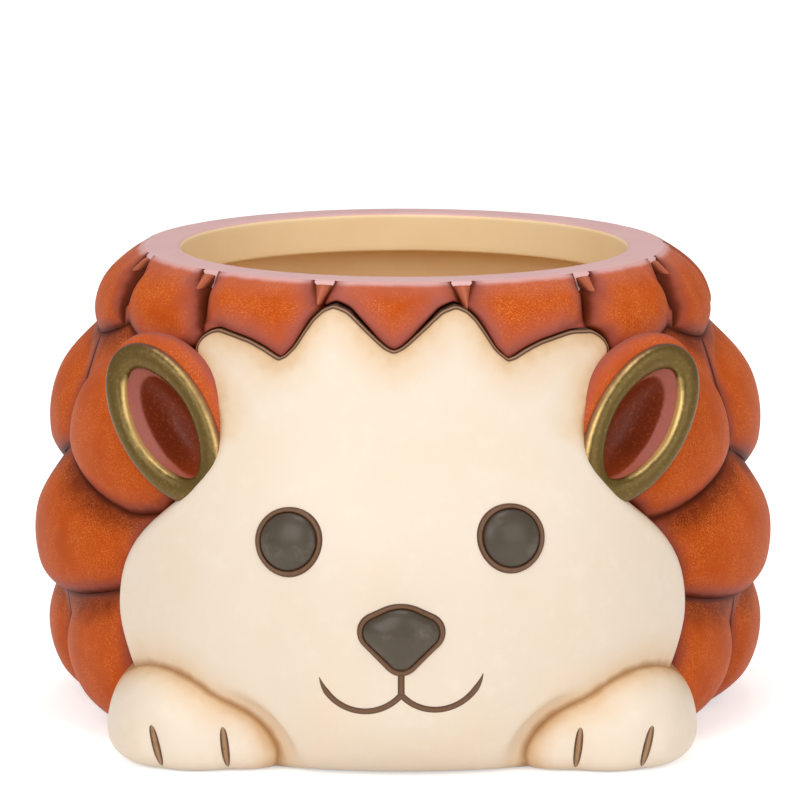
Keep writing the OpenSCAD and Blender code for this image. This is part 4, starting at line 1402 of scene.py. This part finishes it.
def nose_outline(face, inset, count=144):
    """A rounded triangle with an arched top: the line round two side circles, a lower and a large upper one.
    The upper one counts only where the line faces up."""
    width, height = face.nose_width / 2, face.nose_height / 2
    side, lower, arch = 0.46 * width, 0.44 * width, 0.95 * width
    side_x, side_z = width - side, 0.2 * height
    middles = np.array([[side_x, side_z], [-side_x, side_z], [0, lower - height], [0, height - arch]])
    sizes = np.array([side, side, lower, arch]) - inset
    turns = circle(4 * count)
    out = np.stack([np.cos(turns), np.sin(turns)], axis=1)
    reach = out @ middles.T + sizes
    reach[out[:, 1] < 0.5, 3] = -1
    owner = np.argmax(reach, axis=1)
    return evenly(middles[owner] + sizes[owner][:, None] * out, count)


class PLANTER_OT_features(bpy.types.Operator):
    """Make the eyes, the nose and the smile"""

    bl_idname = "planter.features"
    bl_label = "Eyes, nose and smile"
    bl_options = {"REGISTER", "UNDO"}

    def execute(self, context):
        scene = context.scene
        face = scene.planter_face
        colours = scene.planter_glaze
        dark = dark_glaze(colours, "thick_grey_brown_glaze")
        brown = brown_line(colours, "iron_brown_slip")
        ring, thick, over = face.ring, 0.45 * face.ring, 0.45 * face.ring
        for side, sign in SIDES.items():
            x, z = face.eye_x - sign * face.eye_aside, face.eye_z + sign * face.eye_lift
            eye = head_frame(scene, x, z)
            dome = eye_outline(face.eye_radius)
            make_dome(scene, f"eye_dome_{side}", f"eye_{side}", eye, dome, face.eye_bulge, dark, side)
            line = eye_outline(face.eye_radius + over)
            make_bead(scene, f"eye_bead_{side}", f"eye_ring_{side}", eye, line, ring, thick, brown, side)
        nose = head_frame(scene, 0.0, face.nose_z)
        inner, line = nose_outline(face, 0.8 * ring), nose_outline(face, over)
        make_dome(scene, "nose_dome", "nose", nose, inner, face.nose_bulge, dark, "right")
        make_bead(scene, "nose_bead", "nose_edge", nose, line, ring, thick, brown, "right")
        self.smile(scene, brown)
        return {"FINISHED"}

    def smile(self, scene, brown):
        """Two arcs from the middle outwards, which rise a little to the right, and a short upright line that
        stands on them"""
        face = scene.planter_face
        slope = [0, math.tan(face.smile_tilt)]
        right = smile_points(face)
        left = right[::-1] * [-1, 1]
        arcs = [points + points[:, :1] * slope for points in (left, right)]
        top = [0.0, face.nose_z - face.nose_height / 2 + 1.0 * MM]
        foot = [0.0, arcs[1][0, 1] - 0.3 * MM]
        parts = [self.ribbon(scene, part, True) for part in arcs]
        parts.append(self.ribbon(scene, np.linspace(top, foot, 16), False))
        points, faces, across = combined(parts)
        make_piece("smile_line", points, faces, brown, "mouth_line", {"across": across})

    def ribbon(self, scene, line, tapered):
        """A drawn line on the head along points (x, z). A tapered one gets thin towards its outer end."""
        face = scene.planter_face
        normal = unit_normals(*np.gradient(line, axis=0).T)
        share = np.linspace(0, 1, len(line))
        if tapered:
            outer = share if abs(line[-1, 0]) > abs(line[0, 0]) else 1 - share
            width = 0.5 * face.line * np.clip((1 - outer) / 0.16, 0.06, 1) ** 0.7
        else:
            width = np.full(len(line), 0.55 * face.line)
        turns = circle(10)
        x = line[:, :1] + normal[:, :1] * width[:, None] * np.cos(turns)
        z = line[:, 1:] + normal[:, 1:] * width[:, None] * np.cos(turns)
        lift = 0.3 * MM * np.sin(turns) * np.clip(width / (0.5 * face.line), 0.2, 1)[:, None]
        return make_strand(np.stack([x, -(front_of_head(scene, x, z) + lift), z], axis=-1), turns)


def ear_matrix(ear):
    """Places a point of an ear's own frame on the pot: +Z along the ear, -Y out of its open side"""
    matrix = Matrix.Translation(Vector(on_pot(ear.azimuth, ear.distance, ear.height)))
    for turn, axis in ((ear.facing, "Z"), (ear.roll, "Y"), (ear.pitch, "X")):
        matrix = matrix @ Matrix.Rotation(turn, 4, axis)
    return np.array(matrix)


class PLANTER_OT_ears(bpy.types.Operator):
    """Make the ears: a shell, the bowl inside it and the gold edge on it"""

    bl_idname = "planter.ears"
    bl_label = "Ears"
    bl_options = {"REGISTER", "UNDO"}

    # Depth of the bowl as a share of the ear's half width
    BOWL_DEPTH = 0.66

    def execute(self, context):
        scene = context.scene
        ear = scene.planter_ears
        colours = scene.planter_glaze
        shell = quill_glaze(colours, "satin_iron_red_glaze_on_ears", 0.5)
        bowl = ear_glaze("pooled_iron_red_glaze")
        gold = gold_glaze(colours, "brushed_bronze_gold_lustre")
        matrix = ear_matrix(ear)
        for side in SIDES:
            self.shell(ear, matrix, side, shell)
            self.bowl(ear, matrix, side, bowl)
            self.bead(ear, matrix, side, gold)
        return {"FINISHED"}

    def finish(self, kind, node, matrix, points, faces, material, slot, side, marks):
        """Makes a part of an ear from points of the ear's own frame"""
        points = on_side(points.reshape(-1, 3) @ matrix[:3, :3].T + matrix[:3, 3], side)
        make_piece(f"ear_{kind}_{side}", points, faces, material, f"{node}_{side}", marks)

    def shell(self, ear, matrix, side, material):
        """The ear's clay behind the gold edge. It stands out beside it towards the face. In front it has a
        hollow for the bowl, from which a lip runs out under the gold edge and round into the back."""
        turns = circle(144)
        under_gold, least, soft = 2.4 * MM, 0.4 * MM, 1.2 * MM
        towards_face = np.maximum(np.cos(turns + math.radians(60)), 0) ** 1.6
        flange = least + ear.flange * towards_face

        def ring(share, out, back):
            """A share of an outline between the one under the gold edge, at 0, and the flange's edge, at 1"""
            spread = (under_gold + flange) * out
            x = (ear.half_width - under_gold + spread) * np.sin(turns) * share
            z = (ear.half_length - under_gold + spread) * np.cos(turns) * share
            return np.stack([x, back + 0 * x, z], axis=-1)

        fall = 0.3 * MM + 0.9 * flange
        depth = ear.half_width - soft
        hollow = self.BOWL_DEPTH * ear.half_width + 2.5 * MM
        rings = [ring(share, 0, hollow * (1 - share**4)) for share in np.linspace(0.1, 0.98, 12)]
        rings += [ring(1, out, fall * out**2) for out in np.linspace(0, 0.9, 10)]
        rings += [ring(1, 0.9 + 0.1 * math.sin(t), fall + soft * (1 - math.cos(t))) for t in (0.5, 1.0, 1.5)]
        levels = np.linspace(0, math.pi / 2, 28, endpoint=False)
        rings += [ring(math.cos(t), 1, fall + soft + (depth - fall) * math.sin(t)) for t in levels]
        points = np.vstack([[[0, hollow, 0]], np.stack(rings).reshape(-1, 3), [[0, soft + depth, 0]]])
        # Each ring's distance from the lip in millimetres, as the quills' glaze reads it
        lip = np.concatenate([np.full(12, 9), np.linspace(9, 2.5, 10), [1, 1, 1], np.linspace(1, 20, 28)])
        far = np.full(len(points), 1000.0)
        marks = {"lip": np.concatenate([[9], np.repeat(lip, turns.size), [20]])}
        marks.update(crease=far, under=far, rim=far)
        faces = skin_faces(len(rings), turns.size)
        self.finish("shell", "ear", matrix, points, faces, material, "quill_glaze", side, marks)

    def bowl(self, ear, matrix, side, material):
        """The bowl inside the gold edge, a thin skin of its own, with a deep pocket in its middle"""
        turns = circle(128)
        thick, overlap = 0.8 * MM, 0.8 * MM
        lip_x = ear.half_width - ear.band + overlap
        lip_z = ear.half_length - ear.band - ear.band_more + overlap
        depth = self.BOWL_DEPTH * ear.half_width
        # The pocket ends at this share of the bowl, and its middle lies this far from the bowl's
        end, aside, down = 0.72, 1.1 * MM, 1.6 * MM

        def cup(share, extra):
            """Rings at shares of the bowl's size, of its skin or, with `extra`, of a larger bowl behind it"""
            share = share[:, None]
            pocket = np.clip((1 - share) / (1 - end), 0, 1)
            sink = (depth + extra) * (0.2 * pocket + 0.8 * (1 - np.minimum(share / end, 1) ** 3))
            tall = np.where(share < end, 1.2 * share, share + 0.144 * pocket)
            x = (lip_x + extra) * share * np.sin(turns) - aside * pocket
            z = (lip_z + extra) * tall * np.cos(turns) - down * pocket
            return np.stack([x, sink - 0.1 * ear.bead + 0 * x, z], axis=-1)

        shares, back_shares = np.linspace(0.04, 1, 40), np.linspace(1, 0.1, 10)
        rings = np.concatenate([cup(shares, 0.0), cup(back_shares, thick)])
        first, last = (cup(np.zeros(1), extra)[0, :1] for extra in (0.0, thick))
        points = np.vstack([first, rings.reshape(-1, 3), last])
        behind = np.zeros(back_shares.size * turns.size + 1)
        deep = np.concatenate([[1.0], np.repeat(1 - shares, turns.size), behind])
        marks = {"deep": deep, "low": 0.5 - 0.5 * points[:, 2] / lip_z}
        faces = skin_faces(len(rings), turns.size)
        self.finish("bowl", "ear_lining", matrix, points, faces, material, "ear_glaze", side, marks)

    def bead(self, ear, matrix, side, material):
        """The gold edge: a flattened bead that follows the ear's outline and is wider at its ends. It has a
        painted highlight where it faces the key light."""
        turns, around = circle(160), circle(28)
        # The direction that the painted highlight faces
        highlight_direction = np.array([-0.6, -0.6, 0.5])
        half = 0.5 * (ear.band + ear.band_more * np.abs(np.cos(turns)) ** 1.5)
        x, z = (ear.half_width - half) * np.sin(turns), (ear.half_length - half) * np.cos(turns)
        normal = -unit_normals(np.roll(x, -1) - np.roll(x, 1), np.roll(z, -1) - np.roll(z, 1))
        wide = half[:, None] * np.sign(np.cos(around)) * np.abs(np.cos(around)) ** 0.8
        flat = np.zeros(wide.shape)
        across, up = normal[:, :1], normal[:, 1:]
        tall = flat + 0.5 * ear.bead * np.sin(around)
        points = np.stack([x[:, None] + across * wide, tall, z[:, None] + up * wide], axis=-1)
        outward = np.sign((normal * np.stack([x, z], axis=1)).sum(1).mean())
        facing = np.stack([across * np.cos(around), flat + np.sin(around), up * np.cos(around)], axis=-1)
        marks = {
            "edge": flat + 0.5 - 0.5 * outward * np.cos(around),
            "painted_highlight": np.maximum(facing @ matrix[:3, :3].T @ highlight_direction, 0),
        }
        faces = tube_faces(turns.size, around.size)
        self.finish("bead", "ear_edge", matrix, points, faces, material, "gold_glaze", side, marks)


# Each line between the toes: its place as a share of the paw's radius, and how far it leans outwards
TOE_LINES = [(-0.59, 0.12), (0.31, 0.25)]


def toe_x(paw, line, height):
    """Where a line between the toes runs at a height, on the right"""
    share, lean = line
    return paw.x + share * paw.radius + lean * (height - paw.toe_length / 2)


class PLANTER_OT_paws(bpy.types.Operator):
    """Make the front paws and the lines between their toes"""

    bl_idname = "planter.paws"
    bl_label = "Front paws"
    bl_options = {"REGISTER", "UNDO"}

    def execute(self, context):
        scene = context.scene
        colours = scene.planter_glaze
        cream = cream_glaze(colours, "satin_cream_glaze_on_paws")
        brown = brown_line(colours, "thin_iron_brown_slip", "#B0875A")
        for side in SIDES:
            self.paw(scene, side, cream)
            self.toes(scene, side, brown)
        return {"FINISHED"}

    def paw(self, scene, side, material):
        """The paw with its foreleg, as rays from its middle meet it, with valleys between the toes"""
        paw = scene.planter_paws
        rings, spokes = 90, 168
        levels = np.linspace(0, math.pi, rings + 2)[1:-1, None]
        turns = circle(spokes)[None]
        flat = np.sin(levels)
        rays = np.stack([flat * np.cos(turns), flat * np.sin(turns), np.cos(levels) + 0 * turns], axis=-1)
        rays = np.vstack([[[0.0, 0.0, 1.0]], rays.reshape(-1, 3), [[0.0, 0.0, -1.0]]])
        middle = np.array([(paw.x + paw.leg_x) / 2, -paw.leg_y, paw.z / 2])
        distance = lambda points: paw_distance(scene, points)
        reach = outermost(distance, middle, rays, 1 * MM, 50 * MM, steps=60)
        points = middle + rays * reach[:, None]
        points[:, 2] = np.maximum(points[:, 2], 0)
        front = np.clip((-points[:, 1] - paw.y - 0.3 * paw.half_length) / (0.4 * paw.half_length), 0, 1)
        low = np.clip(1.25 - points[:, 2] / paw.toe_length, 0, 1)
        for line in TOE_LINES:
            aside = (points[:, 0] - toe_x(paw, line, points[:, 2])) / (1.6 * paw.toe_width)
            points[:, 1] += 0.9 * MM * np.exp(-(aside**2)) * front * np.minimum(low * 2, 1)
        # Near the head the paw gets the tan and the darker colour as painted shade in the crease where they
        # meet
        near = np.maximum(head_distance(scene, points), 0) / MM
        marks = {"wash": 1.3 * near, "line": np.full(len(points), 20.0), "shade": 1.6 * near}
        points, faces = on_side(points, side), skin_faces(rings, spokes)
        make_piece(f"paw_skin_{side}", points, faces, material, f"paw_{side}", marks)

    def toes(self, scene, side, material):
        """Two slim lenses in the valleys between the toes"""
        paw = scene.planter_paws
        distance = lambda points: paw_distance(scene, points)
        turns = circle(12)
        heights = np.linspace(1.6 * MM, paw.toe_length, 24)
        middle, half_height = (heights[0] + heights[-1]) / 2, (heights[-1] - heights[0]) / 2
        lens = np.sqrt(np.clip(1 - ((heights - middle) / half_height) ** 2, 0.01, 1))
        half = 0.5 * paw.toe_width * lens[:, None]
        parts = []
        for line in TOE_LINES:
            x = toe_x(paw, line, heights)[:, None] + half * np.cos(turns)
            z = np.broadcast_to(heights[:, None], x.shape)
            start = np.stack([x, np.full(x.shape, -paw.y), z], axis=-1)
            forward = np.broadcast_to([0.0, -1.0, 0.0], start.shape)
            reach = outermost(distance, start, forward, 0.0, 32 * MM)
            y = -paw.y - reach + 0.75 * MM - 0.35 * MM * np.sin(turns) * half / half.max()
            parts.append(make_strand(np.stack([x, y, z], axis=-1), turns))
        points, faces, across = combined(parts)
        name, node = f"toe_marks_{side}", f"toe_lines_{side}"
        make_piece(name, on_side(points, side), faces, material, node, {"across": across})


class PLANTER_OT_stage(bpy.types.Operator):
    """Make the pale floor, the soft lights and the camera"""

    bl_idname = "planter.stage"
    bl_label = "Stage"
    bl_options = {"REGISTER", "UNDO"}

    def execute(self, context):
        scene = context.scene
        studio = scene.planter_studio
        scene.view_settings.view_transform = "Standard"
        self.floor(scene)
        self.room(scene, studio)
        self.light(scene, "key_light", (-0.8, -1.5, 1.1), 1.2, studio.key)
        self.light(scene, "fill_light", (1.1, -1.4, 0.8), 1.2, studio.fill)
        self.light(scene, "top_light", (0.0, -0.15, 1.6), 0.7, studio.top)
        self.camera(scene, studio)
        return {"FINISHED"}

    def floor(self, scene):
        """A wide pale floor that shows white to the camera and keeps the pot's shadow"""
        half = 6.0
        mesh = bpy.data.meshes.new("studio_floor")
        corners = [(-half, -half, 0), (half, -half, 0), (half, half, 0), (-half, half, 0)]
        mesh.from_pydata(corners, [], [(0, 1, 2, 3)])
        material = bpy.data.materials.new("studio_paper")
        material.use_nodes = True
        tree = material.node_tree
        tree.nodes.clear()
        path = add_node(tree, "ShaderNodeLightPath").outputs
        seen = calc(tree, "MAXIMUM", path["Is Camera Ray"], path["Is Glossy Ray"])
        seen = calc(tree, "MAXIMUM", seen, path["Is Transmission Ray"])
        diffuse = add_node(tree, "ShaderNodeBsdfDiffuse", {"Color": linear("#F4F2EF")})
        glow = add_node(tree, "ShaderNodeEmission", {"Color": linear("#FFFFFF"), "Strength": 0.55})
        both = add_node(tree, "ShaderNodeAddShader", {0: diffuse.outputs[0], 1: glow.outputs[0]})
        shaders = {0: seen, 1: diffuse.outputs[0], 2: both.outputs[0]}
        mix = add_node(tree, "ShaderNodeMixShader", shaders)
        add_node(tree, "ShaderNodeOutputMaterial", {"Surface": mix.outputs[0]})
        mesh.materials.append(material)
        floor = bpy.data.objects.new("studio_floor", mesh)
        scene.collection.objects.link(floor)

    def room(self, scene, studio):
        """A white room all round: it lights the pot evenly, and the camera sees it as white"""
        world = bpy.data.worlds.new("studio_room")
        world.use_nodes = True
        scene.world = world
        tree = world.node_tree
        tree.nodes.clear()
        path = add_node(tree, "ShaderNodeLightPath").outputs
        lit = add_node(tree, "ShaderNodeBackground", {"Color": linear("#FFFFFF"), "Strength": studio.sky})
        shown = add_node(tree, "ShaderNodeBackground", {"Color": linear("#FFFFFF"), "Strength": 1.0})
        shaders = {0: path["Is Camera Ray"], 1: lit.outputs[0], 2: shown.outputs[0]}
        mix = add_node(tree, "ShaderNodeMixShader", shaders)
        add_node(tree, "ShaderNodeOutputWorld", {"Surface": mix.outputs[0]})

    def light(self, scene, name, place, size, power):
        """A square soft box that points at the pot"""
        data = bpy.data.lights.new(name, "AREA")
        data.size = size
        data.energy = power
        lamp = bpy.data.objects.new(name, data)
        lamp.location = place
        aim = Vector((0, 0, 0.06)) - Vector(place)
        lamp.rotation_euler = aim.to_track_quat("-Z", "Y").to_euler()
        scene.collection.objects.link(lamp)

    def camera(self, scene, studio):
        """A long lens from a little above, as in a catalogue photograph"""
        data = bpy.data.cameras.new("camera")
        data.lens = studio.lens
        data.sensor_width = 36
        data.clip_end = 30
        camera = bpy.data.objects.new("camera", data)
        orbit = Matrix.Rotation(studio.orbit, 4, "Z")
        camera.location = orbit @ Vector((-studio.aside, -studio.distance, studio.height))
        camera.rotation_euler = Euler((math.pi / 2 - studio.pitch, 0, studio.orbit))
        scene.collection.objects.link(camera)
        scene.camera = camera


OPERATORS = [
    PLANTER_OT_stage,
    PLANTER_OT_pot,
    PLANTER_OT_tufts,
    PLANTER_OT_coat,
    PLANTER_OT_head,
    PLANTER_OT_features,
    PLANTER_OT_ears,
    PLANTER_OT_paws,
]


class PLANTER_PT_panel(bpy.types.Panel):
    """Lists the planter's pieces with the sizes and colours that they follow"""

    bl_idname = "PLANTER_PT_panel"
    bl_label = "Hedgehog Planter"
    bl_space_type = "VIEW_3D"
    bl_region_type = "UI"
    bl_category = "Planter"

    def draw(self, context):
        layout = self.layout
        for operator in OPERATORS:
            layout.operator(operator.bl_idname)
        for name, group in SETTINGS.items():
            box = layout.box()
            box.label(text=name.replace("planter_", "").capitalize())
            for size in group.__annotations__:
                box.prop(getattr(context.scene, name), size)


CLASSES = [*SETTINGS.values(), *OPERATORS, PLANTER_PT_panel]


def register():
    for item in CLASSES:
        bpy.utils.register_class(item)
    for name, group in SETTINGS.items():
        setattr(bpy.types.Scene, name, bpy.props.PointerProperty(type=group))


def unregister():
    for name in SETTINGS:
        delattr(bpy.types.Scene, name)
    for item in reversed(CLASSES):
        bpy.utils.unregister_class(item)


def main():
    register()
    for operator in OPERATORS:
        group, name = operator.bl_idname.split(".")
        getattr(getattr(bpy.ops, group), name)()


if __name__ == "__main__":
    main()
